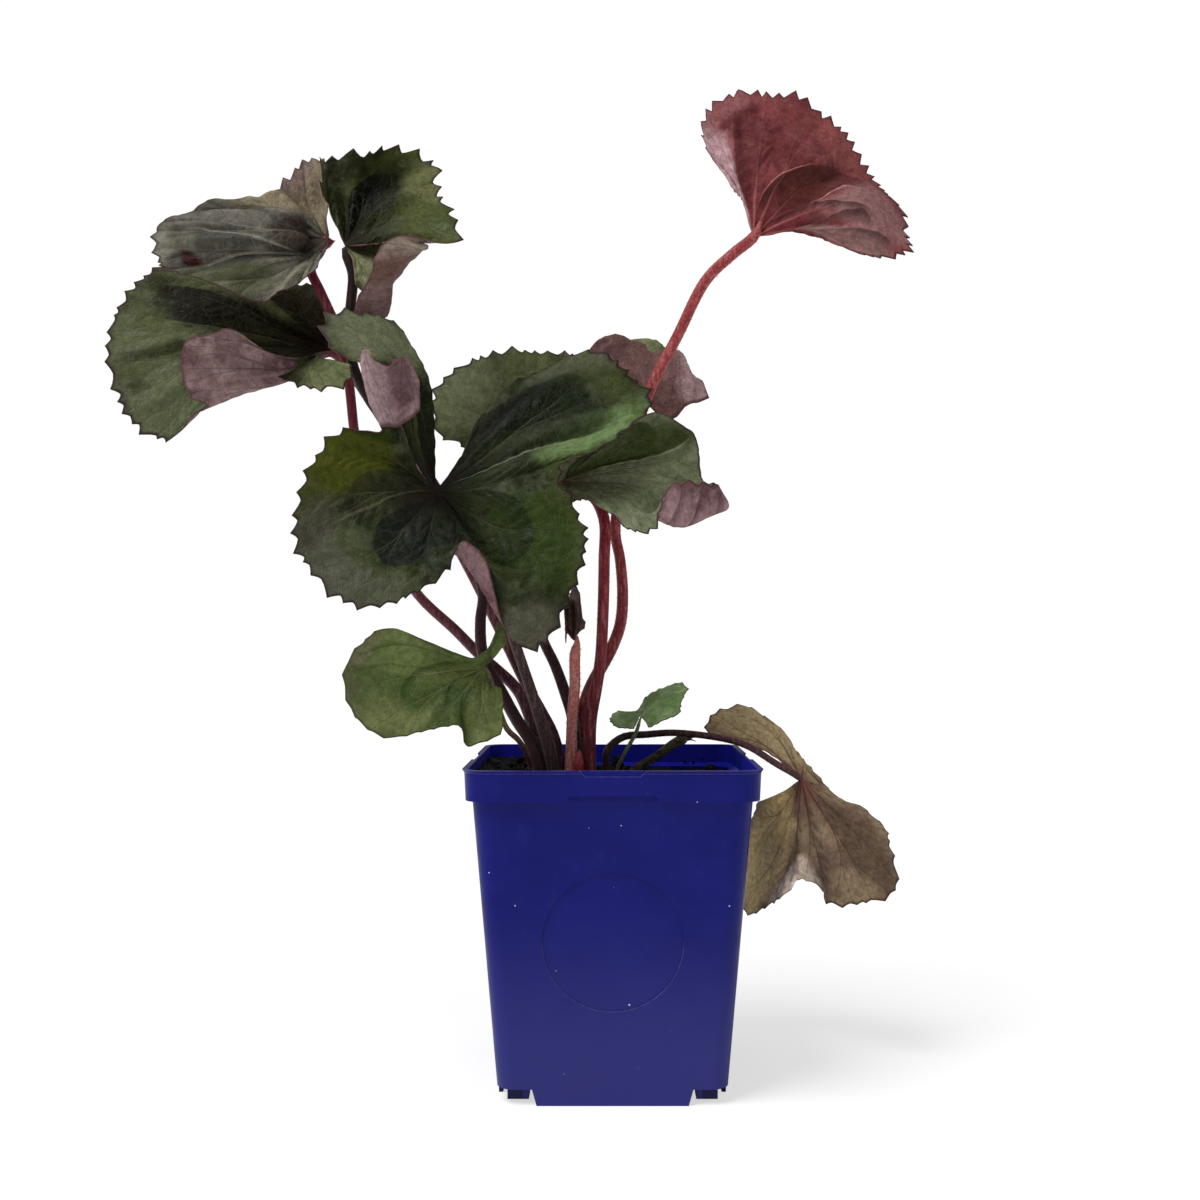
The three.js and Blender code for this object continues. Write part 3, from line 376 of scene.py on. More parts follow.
leaf_front = dict(
    foot_radius=2.8,
    top_radius=2.1,
    tooth_spacing=6.8,
    tooth_height=3.8,
    plain_margins=[[2.8, 8.5], [15, 18]],
    heart=[-67, -28, 227.5],
    petiole=[
        [-23, -11, 121], [-29, -12, 143], [-37, -16, 168], [-43, -20, 186.5], [-51.5, -23, 205.5],
        [-61, -25, 221.5],
    ],
    rays=[
        [[-68, -26, 247.5], [-70.5, -22, 268], [-80, -20, 290.5]],
        [[-70, -29, 249], [-77.5, -29, 274], [-92, -27, 295]],
        [[-72.5, -31, 246.5], [-82, -37, 275], [-106, -36, 291.5]],
        [[-73, -32, 246.5], [-75.5, -38, 268.5], [-83.5, -43, 274], [-95, -46, 274], [-100.5, -48, 276]],
        [[-73.5, -32, 246], [-76, -34, 264], [-82.5, -34, 277.5]],
        [[-74, -33, 245.5], [-76, -34, 264], [-77, -38, 275.5], [-71, -47, 265.5], [-70.5, -50, 256]],
        [[-75.5, -33, 245], [-78.5, -35, 265], [-83.5, -39, 276.5], [-80.5, -49, 262.5], [-77, -52, 249]],
        [[-77, -33, 244], [-83, -36, 264], [-92.5, -41, 276], [-89, -50, 262], [-83, -53, 248]],
        [[-78.5, -33, 242.5], [-82, -37, 246.5], [-87.5, -40, 248.5]],
        [[-82.5, -33, 239.5], [-100, -38, 248.5]],
        [[-87.5, -35, 235], [-110.5, -43, 235]],
        [[-91, -38, 225], [-115, -47, 215]],
        [[-88.5, -42, 214], [-111, -51, 200.5]],
        [[-82.5, -44, 205.5], [-94, -54, 185]],
        [[-74, -42, 202.5], [-77, -50, 186.5]],
        [[-66.5, -38, 206], [-61, -44, 198]],
        [[-61.5, -36, 213], [-57, -42, 202.5], [-54.5, -46, 208]],
        [[-56.5, -38, 210.5], [-49.5, -44, 193], [-46, -49, 199]],
        [[-50.5, -41, 203], [-37.5, -50, 172]],
        [[-44.5, -43, 198], [-25.5, -52, 170.5]],
        [[-38.5, -42, 201], [-18, -48, 184.5]],
        [[-36, -39, 210.5], [-10.5, -42, 205.5]],
        [[-40, -34, 222.5], [-14.5, -36, 220.5]],
        [[-42.5, -32, 229.5], [-21.5, -30, 235]],
        [[-38, -30, 237.5], [-4.5, -26, 244.5]],
        [[-31.5, -27, 244], [7, -20, 254]],
        [[-27.5, -23, 251], [14.5, -14, 264]],
        [[-31, -19, 256], [6.5, -5, 276]],
        [[-37, -15, 260], [-5.5, 2, 286]],
        [[-43, -12, 259], [-21, 5, 283]],
        [[-50, -12, 253], [-39, 0, 273]],
        [[-59, -18, 241.5], [-53, -8, 258.5]],
    ],
)

leaf_behind = dict(
    foot_radius=2.8,
    top_radius=2.1,
    tooth_spacing=6.8,
    tooth_height=2.9,
    plain_margins=[[0, 3]],
    heart=[-19.5, 26, 254.5],
    petiole=[
        [-14.5, -1, 120], [-15.5, 1, 139], [-18.5, 3, 149], [-23, 6, 161], [-28, 8, 171.5],
        [-31.5, 12, 187], [-29.5, 18, 212], [-25, 23, 237.5],
    ],
    rays=[
        [[16, 30, 270.5], [36.5, 32, 282], [41, 28, 272.5]],
        [[9.5, 31, 274], [28.5, 33, 293], [32.5, 23, 269]],
        [[1, 33, 278], [17.5, 35, 299.5], [22, 22, 263.5]],
        [[-8.5, 34, 279], [-3.5, 34, 300], [4, 26, 280.5]],
        [[-17, 33, 276], [-15.5, 33, 290.5]],
        [[-26, 29, 272], [-27.5, 29, 291.5]],
        [[-36.5, 25, 271.5], [-42.5, 25, 291]],
        [[-44.5, 21, 270], [-54, 21, 287.5]],
        [[-50.5, 18, 266], [-67, 14, 279]],
        [[-52.5, 16, 261.5], [-72, 10, 268]],
        [[-51.5, 16, 257.5], [-69.5, 10, 254.5]],
        [[-44, 19, 253], [-60, 16, 250.5]],
        [[-37.5, 22, 247.5], [-50, 22, 239.5]],
        [[-28, 24, 243.5], [-31, 27, 229.5]],
        [[-15, 26, 245], [-10, 29, 233]],
        [[-4, 28, 251], [12, 31, 243.5]],
    ],
)

leaf_right = dict(
    foot_radius=3.1,
    top_radius=2.3,
    tooth_spacing=7.0,
    tooth_height=3.2,
    plain_margins=[[5.6, 15]],
    heart=[-19.5, -9, 233.5],
    petiole=[
        [-9, -6, 120.5], [-8.5, -6, 139], [-6, -7, 153], [-4.5, -8, 163], [-3.5, -9, 180.5],
        [-3, -9, 202.5], [-3, -7, 218.5], [-7, -4, 227.5], [-13, -2, 231.5],
    ],
    rays=[
        [[-20.5, -12, 231.5], [-21, -15, 229.5]],
        [[-17, -14, 229], [-15, -18, 225.5]],
        [[-13, -16, 228], [-8, -21, 224]],
        [[-8.5, -17, 227.5], [-0.5, -23, 220]],
        [[-4, -17, 226.5], [6.5, -24, 214]],
        [[2, -17, 226.5], [15, -24, 214.5]],
        [[8, -15, 228], [21.5, -21, 216], [23, -27, 230]],
        [[11, -13, 230.5], [32, -18, 216], [33.5, -25, 230.5]],
        [[11.5, -11, 234], [45.5, -13, 223], [40.5, -20, 230.5]],
        [[11.5, -9, 238], [35.5, -8, 235]],
        [[9, -6, 244], [33.5, -5, 250.5]],
        [[5, -8, 247.5], [28, -8, 255.5]],
        [[-1, -9, 248], [17, -10, 260.5]],
        [[-7.5, -9, 245], [4, -10, 254.5]],
        [[-12.5, -9, 241.5], [-7, -11, 249]],
        [[-16, -10, 238.5], [-15, -13, 244.5]],
        [[-19.5, -10, 236.5], [-20.5, -14, 239.5]],
    ],
)

leaf_round = dict(
    foot_radius=1.3,
    top_radius=1.1,
    tooth_spacing=13.0,
    tooth_height=1.2,
    plain_margins=[],
    heart=[-48, -34, 161],
    petiole=[
        [-31.5, -14, 121.5], [-35.5, -24, 132.5], [-40, -30, 138], [-43.5, -33, 148],
    ],
    rays=[
        [[-43.5, -37, 165.5], [-39, -39, 170.5]],
        [[-44.5, -39, 168.5], [-42, -43, 177.5]],
        [[-49.5, -38, 162.5], [-52, -41, 164]],
        [[-63, -43, 166], [-79, -49, 175.5]],
        [[-67, -43, 163.5], [-90.5, -53, 170]],
        [[-68, -43, 159.5], [-96.5, -55, 158.5]],
        [[-67, -43, 155.5], [-93, -55, 145.5]],
        [[-65, -43, 152.5], [-83.5, -53, 137]],
        [[-61.5, -43, 150.5], [-70, -51, 138.5]],
        [[-56, -41, 150.5], [-56.5, -47, 140.5]],
        [[-52, -40, 148.5], [-53.5, -45, 133.5]],
        [[-48.5, -39, 148.5], [-46, -45, 134.5]],
        [[-45.5, -38, 150], [-40.5, -43, 140]],
        [[-45.5, -36, 155.5], [-41.5, -39, 153.5]],
    ],
)

leaf_seedling = dict(
    foot_radius=0.9,
    top_radius=0.8,
    tooth_spacing=4.4,
    tooth_height=0.9,
    plain_margins=[],
    heart=[11, -6, 141],
    petiole=[
        [2, -6, 119.5], [5, -7, 126.5], [9.5, -7, 134.5],
    ],
    rays=[
        [[13, -10, 139], [14, -13, 137]],
        [[17, -10, 141], [20, -14, 140]],
        [[19.5, -8, 142.5], [25.5, -12, 142.5]],
        [[20.5, -6, 145.5], [27.5, -8, 148]],
        [[20.5, -3, 148], [29.5, -4, 151.5]],
        [[19, 0, 148], [27, 1, 153.5]],
        [[16, 3, 146], [18.5, 6, 150.5]],
        [[13.5, 4, 144], [13.5, 8, 147]],
        [[10.5, 2, 142.5], [9.5, 5, 142]],
        [[7, -2, 141.5], [2.5, -2, 142.5]],
        [[6, -5, 139.5], [-0.5, -7, 140]],
        [[7, -8, 138.5], [1.5, -12, 137.5]],
        [[9.5, -9, 138], [8.5, -13, 136.5]],
    ],
)

leaf_drooping = dict(
    foot_radius=1.8,
    top_radius=1.4,
    tooth_spacing=9.5,
    tooth_height=2.2,
    plain_margins=[],
    heart=[79, 22, 113],
    petiole=[
        [-2, 2, 119.5], [-2, 2, 126], [4, 6, 131.5], [14.5, 9, 132.5], [25, 11, 133],
        [40, 12, 131.5], [50, 12, 129.5], [56.5, 12, 127], [67.5, 16, 120],
    ],
    rays=[
        [[72, 27, 107], [63, 40, 101]],
        [[71, 30, 98], [59.5, 54, 83]],
        [[70.5, 32, 89], [58.5, 60, 62.5]],
        [[70.5, 30, 82], [60, 54, 50]],
        [[72.5, 25, 82], [68, 40, 57]],
        [[75.5, 20, 83.5], [72.5, 29, 63]],
        [[78.5, 17, 85], [77.5, 15, 77], [79.5, 21, 71.5]],
        [[82.5, 14, 85.5], [84, 11, 76.5], [85.5, 15, 69]],
        [[87.5, 10, 85.5], [88.5, 8, 64.5]],
        [[92.5, 8, 87.5], [100.5, 3, 65.5]],
        [[96.5, 8, 90.5], [113.5, 2, 71]],
        [[97, 10, 95.5], [112.5, 5, 86]],
        [[96, 14, 101], [110.5, 10, 95]],
        [[90.5, 18, 106.5], [103, 16, 102]],
        [[84.5, 21, 110.5], [92.5, 21, 106]],
        [[80, 23, 117.5], [78, 26, 123.5]],
        [[75, 26, 126.5], [68, 32, 136]],
        [[69.5, 28, 130.5], [58, 36, 142]],
        [[65, 28, 130.5], [46, 38, 140]],
        [[63, 27, 127.5], [41, 37, 134.5]],
        [[64.5, 24, 124], [42, 32, 129]],
    ],
)

leaf_withered = dict(
    foot_radius=3.0,
    top_radius=2.2,
    tooth_spacing=3.0,
    tooth_height=0.8,
    plain_margins=[],
    heart=[-15, -11, 171],
    petiole=[
        [-16, -10, 121], [-15.5, -11, 142], [-14.5, -11, 153], [-14.5, -11, 165],
    ],
    rays=[
        [[-13, -13, 174], [-11, -15, 175.5]],
        [[-12.5, -14, 179.5], [-12.5, -15, 185]],
        [[-14, -12, 183], [-14.5, -12, 192]],
        [[-16, -8, 182], [-17.5, -8, 186]],
        [[-18, -9, 178], [-18.5, -12, 183.5]],
        [[-17.5, -13, 174], [-18, -15, 170]],
    ],
)
LEAVES = {
    "leaf_burgundy": leaf_burgundy,
    "leaf_cup": leaf_cup,
    "leaf_grey": leaf_grey,
    "leaf_broad": leaf_broad,
    "leaf_front": leaf_front,
    "leaf_behind": leaf_behind,
    "leaf_right": leaf_right,
    "leaf_round": leaf_round,
    "leaf_seedling": leaf_seedling,
    "leaf_drooping": leaf_drooping,
    "leaf_withered": leaf_withered,
}
print(len(LEAVES), "leaves with", sum(len(leaf["rays"]) for leaf in LEAVES.values()), "rays")

# %% [markdown]
# ## From rays to a surface
# A smooth curve runs through each ray's points, and another one runs across all the rays at the same
# share of their length. Together they give a point of the blade for any place u across the rays and
# any share v of the way from heart to margin.

# %% Curves
def spline(points, at, even=False):
    """Points on a smooth curve through the given ones, where at counts spans from the first point.
    An even curve treats all spans alike, and the other kind rounds tight bends without a loop."""
    points = np.asarray(points, float)
    at = np.asarray(at, float)
    ends = (2 * points[:1] - points[1:2], points, 2 * points[-1:] - points[-2:-1])
    padded = np.concatenate(ends)
    span = np.clip(np.floor(at).astype(int), 0, len(points) - 2)
    share = (at - span).reshape((-1,) + (1,) * (points.ndim - 1))
    a, b, c, d = (padded[span + k] for k in range(4))
    if even:
        leave, arrive = (c - a) / 2, (d - b) / 2
    else:
        first, second, third = (knot_gap(p, q) for p, q in ((a, b), (b, c), (c, d)))
        leave = second * ((b - a) / first - (c - a) / (first + second)) + c - b
        arrive = second * ((d - c) / third - (d - b) / (second + third)) + c - b
    square = share * share
    cube = square * share
    return (
        b * (2 * cube - 3 * square + 1)
        + leave * (cube - 2 * square + share)
        + c * (3 * square - 2 * cube)
        + arrive * (cube - square)
    )


def knot_gap(first, second):
    """The square root of the distance between two points, which spaces a curve's knots."""
    return np.sqrt(np.linalg.norm(second - first, axis=-1, keepdims=True))


def along_curve(points, shares):
    """Points at these shares of a curve's length, and its length."""
    fine = np.linspace(0, len(points) - 1, 201)
    steps = np.linalg.norm(np.diff(spline(points, fine), axis=0), axis=1)
    reached = np.concatenate([[0], np.cumsum(steps)])
    return spline(points, np.interp(np.asarray(shares) * reached[-1], reached, fine)), reached[-1]


def blade_points(leaf, u, v):
    """Points of a blade's middle surface: one row for each u, one column for each v."""
    rays = np.stack([along_curve([leaf["heart"], *ray], v)[0] for ray in leaf["rays"]])
    return spline(rays, u, even=True)


# %% [markdown]
# ## Teeth
# The margin is cut into sharp teeth with hollow curves between them, and no two are alike: broad ones
# stand beside small ones, and each leans its own way. A seeded draw steps along the margin and gives
# each tooth its width, its lean and its height, so that the teeth are the same each time.

# %% The toothed margin
TOOTH_STEPS = 3
TOOTH_CURVE = 1.5
STRAIGHT_TEETH = {"leaf_burgundy": 1.1, "leaf_grey": 1.2, "leaf_right": 1.2}
SCALLOPS = {"leaf_right": (5.7, 8.7, 5, 1.9)}
TOOTH_WIDTH = (0.5, 1.5)
TOOTH_LEAN = (0.3, 0.7)
TOOTH_SIZE = (0.6, 1.15)
PLAIN_SHARE = 0.1
TEETH = {
    "leaf_burgundy": (4.9, 3.9),
    "leaf_cup": (7.8, 4.4),
    "leaf_grey": (4.4, 2.4),
    "leaf_broad": (6.2, 2.6),
    "leaf_front": (6.6, 2.6),
    "leaf_behind": (6.6, 2.4),
    "leaf_right": (4.8, 2.1),
    "leaf_round": (7.0, 0.8),
    "leaf_seedling": (3.2, 0.8),
    "leaf_drooping": (6.0, 1.6),
    "leaf_withered": (4.0, 1.2),
}


def make_draw(seed):
    """A small seeded source of numbers from 0 to 1."""
    state = seed

    def draw():
        nonlocal state
        state = state * 16807 % 2147483647
        return state / 2147483647

    return draw


def between(ends, share):
    return ends[0] + (ends[1] - ends[0]) * share


def tooth_notches(name, leaf, draw):
    """Where the notches lie across the rays, at uneven steps along the margin, and each tooth's share
    of the usual width."""
    fine = np.linspace(0, len(leaf["rays"]) - 1, 40 * len(leaf["rays"]))
    margin = blade_points(leaf, fine, [1.0])[:, 0]
    walked = np.concatenate([[0], np.cumsum(np.linalg.norm(np.diff(margin, axis=0), axis=1))])
    usual = TEETH[name][0]
    widths = []
    while sum(widths) < walked[-1]:
        widths.append(usual * between(TOOTH_WIDTH, draw()))
    widths = np.array(widths) * walked[-1] / sum(widths)
    notches = np.interp(np.concatenate([[0], np.cumsum(widths)]), walked, fine)
    return notches, widths / usual


def tooth_columns(name, leaf, seed):
    """Where the blade's columns stand across the rays, and how far each reaches past the margin."""
    draw = make_draw(seed)
    draw()
    notches, widths = tooth_notches(name, leaf, draw)
    curve = STRAIGHT_TEETH.get(name, TOOTH_CURVE)
    columns, reaches = [], []
    for start, end, width in zip(notches, notches[1:], widths):
        tip = start + (end - start) * between(TOOTH_LEAN, draw())
        plain = any(first <= start < last for first, last in leaf["plain_margins"])
        reach = TEETH[name][1] * width ** 0.7 * between(TOOTH_SIZE, draw()) * (PLAIN_SHARE if plain else 1)
        for k in range(TOOTH_STEPS):
            columns.append(start + (tip - start) * k / TOOTH_STEPS)
            reaches.append(reach * (k / TOOTH_STEPS) ** curve)
        for k in range(TOOTH_STEPS):
            columns.append(tip + (end - tip) * k / TOOTH_STEPS)
            reaches.append(reach * (1 - k / TOOTH_STEPS) ** curve)
    columns.append(notches[-1])
    reaches.append(0)
    columns, reaches = np.array(columns), np.array(reaches)
    if name in SCALLOPS:
        low, high, count, depth = SCALLOPS[name]
        turn = np.clip((columns - low) / (high - low), 0, 1) * count * math.pi
        reaches = reaches + depth * (np.abs(np.sin(turn)) - 0.5) * (turn > 0) * (turn < count * math.pi)
    return columns, reaches


# %% [markdown]
# ## Veins as relief
# Every second ray is a main vein. It forks in the middle of the blade and again near the margin, and
# side veins leave it in a herringbone. The sheet dips along a vein, which makes a groove above and a
# rib below, and it swells between the veins. The pattern strays a little from the rays, by a noise that
# each leaf takes from another place, so that no two veins run alike. Over this lie a leaf's own folds,
# long ridges or valleys that may rise gently on one side and fall steeply on the other.

# %% The relief
FORKS = ((0.5, 0.3, 0.95), (0.25, 0.62, 1.02))
CREASE_WIDTH = 0.9
SWELL_WIDTH = 5.0
SIDE_SPACING = 6.2
SIDE_SLOPE = 1.1
SIDE_WIDTH = 1.3
STRAY_SLOW = (16, 1.7)
STRAY_QUICK = (5, 0.5)


def soft_step(value, low, high):
    share = np.clip((value - low) / (high - low), 0, 1)
    return share * share * (3 - 2 * share)


def stray(places, seed):
    """Two noises in millimetres at each place, which bend the veins sideways and shift the side veins."""
    flat = places.reshape(-1, 3)
    moved = np.zeros((len(flat), 2))
    for cell, size in (STRAY_SLOW, STRAY_QUICK):
        for number, place in enumerate(flat):
            drawn = noise_vector(Vector(place / cell) + Vector((seed, 0, 0)))
            moved[number] += (size * drawn[0], size * drawn[1])
    return moved.reshape(*places.shape[:2], 2)


def vein_distance(u, v, ray_gap):
    """Millimetres to the nearest main vein or fork; ray_gap is the local distance between two rays."""
    away = np.abs(np.mod(u / 2, 1) - 0.5) * 2 * ray_gap
    for share, low, high in FORKS:
        away = np.abs(away - share * ray_gap * soft_step(v, low, high))
    return away


def side_distance(reach, away):
    """Millimetres to the nearest side vein; reach is how far the place lies from the heart."""
    phase = np.mod((reach - SIDE_SLOPE * away) / SIDE_SPACING, 1)
    return (0.5 - np.abs(phase - 0.5)) * SIDE_SPACING / math.hypot(1, SIDE_SLOPE)


def line_sums(line):
    """The three numbers a, b, c for which a + b v + c v v runs through three (v, u) places."""
    (v0, u0), (v1, u1), (v2, u2) = line
    slope = (u1 - u0) / (v1 - v0)
    bend = ((u2 - u1) / (v2 - v1) - slope) / (v2 - v0)
    return u0 - slope * v0 + bend * v0 * v1, slope - bend * (v0 + v1), bend


def fold_height(fold, u, v):
    """A ridge, or a valley if its height is below 0, along a bent line through three (v, u) places.
    rise and fall are its widths in rays on either side."""
    line, height, rise, fall = fold
    a, b, c = line_sums(line)
    low, high = line[0][0], line[2][0]
    across = u - (a + b * v + c * v * v)
    side = np.where(across < 0, 1 + across / rise, 1 - across / fall)
    ends = soft_step(v, low - 0.05, low + 0.2) * (1 - soft_step(v, high - 0.15, high + 0.05))
    return height * (0.7 * np.clip(side, 0, 1) + 0.3 * soft_step(side, 0, 1)) * ends


def relief(look, u, v, reach, ray_gap, seed):
    """Height over the middle surface in millimetres, towards the upper face."""
    away = vein_distance(u, v, ray_gap)
    inner = soft_step(v, 0.02, 0.2)
    outer = 1 - soft_step(v, 0.86, 1.0)
    crease = np.exp(-(away / CREASE_WIDTH) ** 2) * (1 - 0.7 * v) * inner
    swell = (1 - np.exp(-(away / SWELL_WIDTH) ** 2)) * inner * outer
    side = np.exp(-(side_distance(reach, away) / SIDE_WIDTH) ** 2) * inner * outer
    waves = np.sin(2.3 * u + 4 * v + seed) * np.sin(1.1 * u - 7 * v) * v
    ruffle = np.sin(4.7 * u + seed) * soft_step(v, 0.8, 1.0)
    return (
        sum(fold_height(fold, u, v) for fold in look["folds"])
        + look["swell"] * swell
        - look["crease"] * crease
        - look["side"] * side * np.clip(away / 2, 0, 1)
        + look["wave"] * waves
        + look["ruffle"] * ruffle
    )


# %% [markdown]
# ## Laying a grid over a shape
# Blades and stems are both made from bmesh's flat grid. Each of its points moves to its place on the
# blade or round the stem, and the doubled points at the heart or along the seam are merged.

# %% The laid grid
def laid_grid(places):
    """A flat grid with one point for each place, moved there; places is columns by rows by 3, in mm."""
    columns, rows = places.shape[:2]
    mesh = bmesh.new()
    bmesh.ops.create_grid(mesh, x_segments=columns - 1, y_segments=rows - 1, size=1)
    mark_u = mesh.verts.layers.int.new("column")
    mark_v = mesh.verts.layers.int.new("row")
    for vert in mesh.verts:
        i = round((vert.co.x + 1) / 2 * (columns - 1))
        j = round((vert.co.y + 1) / 2 * (rows - 1))
        vert[mark_u], vert[mark_v] = i, j
        vert.co = places[i, j] * MM
    bmesh.ops.reverse_faces(mesh, faces=mesh.faces)
    return mesh


def drop_marks(mesh):
    """Takes the grid's own counts off a mesh."""
    for mark in ("column", "row"):
        mesh.verts.layers.int.remove(mesh.verts.layers.int[mark])


def finish_piece(name, mesh, materials, node=None):
    """Makes the object, gives it its materials, hangs it on the root body and hides the imported node it stands for,
    if any.
    """
    for face in mesh.faces:
        face.smooth = True
    data = bpy.data.meshes.new(name)
    mesh.to_mesh(data)
    mesh.free()
    piece = bpy.data.objects.new(name, data)
    bpy.context.collection.objects.link(piece)
    for material in materials:
        data.materials.append(material)
    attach(piece, "root")
    if node:
        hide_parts(node)
    return piece


# %% The blade
INNER_ROWS = np.linspace(0, 0.88, 52)
OUTER_ROWS = np.array([0.9, 0.92, 0.94, 0.96, 0.98, 1.0])
ROWS = np.concatenate([INNER_ROWS, OUTER_ROWS])
TOOTH_ROOT = 0.9
BLADE_THICKNESS = 0.45
HEART_MERGE = 0.12
BOX_SKIN = 0.35


def make_blade(name, leaf, look, materials, seed):
    """A leaf's blade: a single sheet with teeth and relief, which Solidify then makes thick."""
    columns, reaches = tooth_columns(name, leaf, seed)
    middle = blade_points(leaf, columns, ROWS)
    across = np.gradient(middle, columns, axis=0)
    outwards = np.gradient(middle, ROWS, axis=1)
    outwards[:, 0] = outwards[:, 1]
    across[:, 0] = across[:, 1]
    normal = np.cross(outwards, across)
    normal /= np.linalg.norm(normal, axis=2, keepdims=True)
    ray_gap = np.linalg.norm(across, axis=2)
    u, v = np.meshgrid(columns, ROWS, indexing="ij")
    steps = np.linalg.norm(np.diff(middle, axis=1, prepend=middle[:, :1]), axis=2)
    strays = stray(middle, seed) * soft_step(v, 0.05, 0.5)[..., None]
    strayed = u + strays[..., 0] / (ray_gap + 2)
    reach = np.cumsum(steps, axis=1) + 3 * strays[..., 1]
    height = relief(look, strayed, v, reach, ray_gap, seed)
    past = blade_points(leaf, columns, [0.94, 1.0])
    past = past[:, 1] - past[:, 0]
    past /= np.linalg.norm(past, axis=1, keepdims=True)
    tooth = reaches[:, None] * soft_step(ROWS, TOOTH_ROOT, 1.0)[None]
    places = middle + normal * height[..., None] + past[:, None] * tooth[..., None]
    box = np.array(CAD_BOX) / MM
    places = np.clip(places, box[0] + BOX_SKIN, box[1] - BOX_SKIN)
    mesh = laid_grid(places)
    pattern = mesh.verts.layers.float_vector.new("leaf_pattern")
    share = mesh.verts.layers.float_vector.new("leaf_place")
    mark_u, mark_v = mesh.verts.layers.int["column"], mesh.verts.layers.int["row"]
    for vert in mesh.verts:
        i, j = vert[mark_u], vert[mark_v]
        vert[pattern] = (strayed[i, j], reach[i, j], ray_gap[i, j])
        vert[share] = (u[i, j], v[i, j], 0)
    near_heart = [vert for vert in mesh.verts if ROWS[vert[mark_v]] < 0.3]
    bmesh.ops.remove_doubles(mesh, verts=near_heart, dist=HEART_MERGE * MM)
    drop_marks(mesh)
    piece = finish_piece(name + "_blade", mesh, materials, name)
    thick = piece.modifiers.new("thickness", "SOLIDIFY")
    thick.thickness = BLADE_THICKNESS * MM
    thick.offset = 0
    thick.material_offset = 1
    thick.material_offset_rim = 1
    print(piece.name, len(piece.data.polygons), "faces")
    return piece


# %% [markdown]
# ## Stems
# A petiole is round with a shallow groove along its upper side and fine ridges. It starts in the soil
# and ends in the heart of the blade, drawn in where it parts into the veins.

# %% The stem
STEM_SIDES = 16
STEM_STEP = 2.5
STEM_RUN_OUT = 0.09
STEM_END_DROP = 0.75
FOOT_LEVEL = 106.6
TAPER_SHARE = 0.4


def stem_frames(path):
    """Two directions square to a path at each of its points, turned as little as possible."""
    ahead = np.gradient(path, axis=0)
    ahead /= np.linalg.norm(ahead, axis=1, keepdims=True)
    side = np.cross(ahead[0], [0, 1, 0])
    sides = []
    for direction in ahead:
        side = side - direction * (side @ direction)
        side = side / np.linalg.norm(side)
        sides.append(side)
    sides = np.array(sides)
    return sides, np.cross(ahead, sides)


def stem_places(route, foot_radius, top_radius, end_share):
    """The stem's surface as columns round it by rows along it."""
    length = along_curve(route, [0])[1]
    rows = max(8, round(length / STEM_STEP))
    shares = np.linspace(0, 1, rows + 1)
    path = along_curve(route, shares)[0]
    sides, backs = stem_frames(path)
    angles = np.linspace(0, 2 * math.pi, STEM_SIDES + 1)
    ridges = 1 + 0.035 * np.cos(7 * angles) - 0.1 * np.exp(-((angles - math.pi) / 0.4) ** 2)
    radius = foot_radius + (top_radius - foot_radius) * np.clip(shares / TAPER_SHARE, 0, 1)
    radius = radius * (1 - (1 - end_share) * soft_step(shares, 1 - 7 / length, 1))
    turn = np.cos(angles)[:, None, None] * sides + np.sin(angles)[:, None, None] * backs
    return path + turn * ridges[:, None, None] * radius[None, :, None]


def close_tube(mesh):
    """Merges the seam and caps both ends."""
    bmesh.ops.remove_doubles(mesh, verts=mesh.verts, dist=0.001 * MM)
    bmesh.ops.holes_fill(mesh, edges=[edge for edge in mesh.edges if edge.is_boundary])


def add_hairs(mesh, places, count, length, seed):
    """Fine pale hairs that stand out of a stem; their faces take the second material."""
    draw = random.Random(seed)
    columns, rows = places.shape[:2]
    for _ in range(count):
        i = draw.randrange(columns - 1)
        j = draw.randrange(rows // 12, rows - 2)
        root = Vector(places[i, j] * MM)
        out = Vector(places[i, j] - places[:-1, j].mean(axis=0)).normalized()
        lean = Vector([draw.uniform(-0.5, 0.5) for _ in range(3)])
        size = length * draw.uniform(0.5, 1.2) * MM
        turned = (out + lean).to_track_quat("Z", "Y").to_matrix().to_4x4()
        turned.translation = root + (out + lean).normalized() * size * 0.42
        made = bmesh.ops.create_cone(
            mesh, cap_ends=True, segments=3, radius1=HAIR_RADIUS * MM, radius2=0, depth=size, matrix=turned
        )
        for face in {face for vert in made["verts"] for face in vert.link_faces}:
            face.material_index = 1


HAIR_RADIUS = 0.04


END_DROPS = {"leaf_right": 1.25}


def make_stem(name, leaf, look, materials, seed):
    """A leaf's stem, from its foot in the soil to the underside of the blade's heart."""
    foot = leaf["petiole"][0]
    middle = (len(leaf["rays"]) - 1) / 2
    near = blade_points(leaf, [middle - 1, middle, middle + 1], [STEM_RUN_OUT / 2, STEM_RUN_OUT])
    under = np.cross(near[2, 1] - near[0, 1], near[1, 1] - near[1, 0])
    under *= END_DROPS.get(name, STEM_END_DROP) * leaf["top_radius"] / np.linalg.norm(under)
    ends = [np.array(leaf["heart"]) + under, near[1, 1] + 0.7 * under]
    route = [[foot[0], foot[1], FOOT_LEVEL], *leaf["petiole"], *ends]
    places = stem_places(route, leaf["foot_radius"], leaf["top_radius"], 0.35)
    mesh = laid_grid(places)
    along = mesh.verts.layers.float.new("stem_along")
    mark_v = mesh.verts.layers.int["row"]
    for vert in mesh.verts:
        vert[along] = vert[mark_v] / (places.shape[1] - 1)
    drop_marks(mesh)
    close_tube(mesh)
    bmesh.ops.recalc_face_normals(mesh, faces=mesh.faces)
    add_hairs(mesh, places, look["hairs"], look["hair_length"], seed)
    piece = finish_piece(name + "_stem", mesh, materials, name)
    print(piece.name, len(piece.data.polygons), "faces")
    return piece


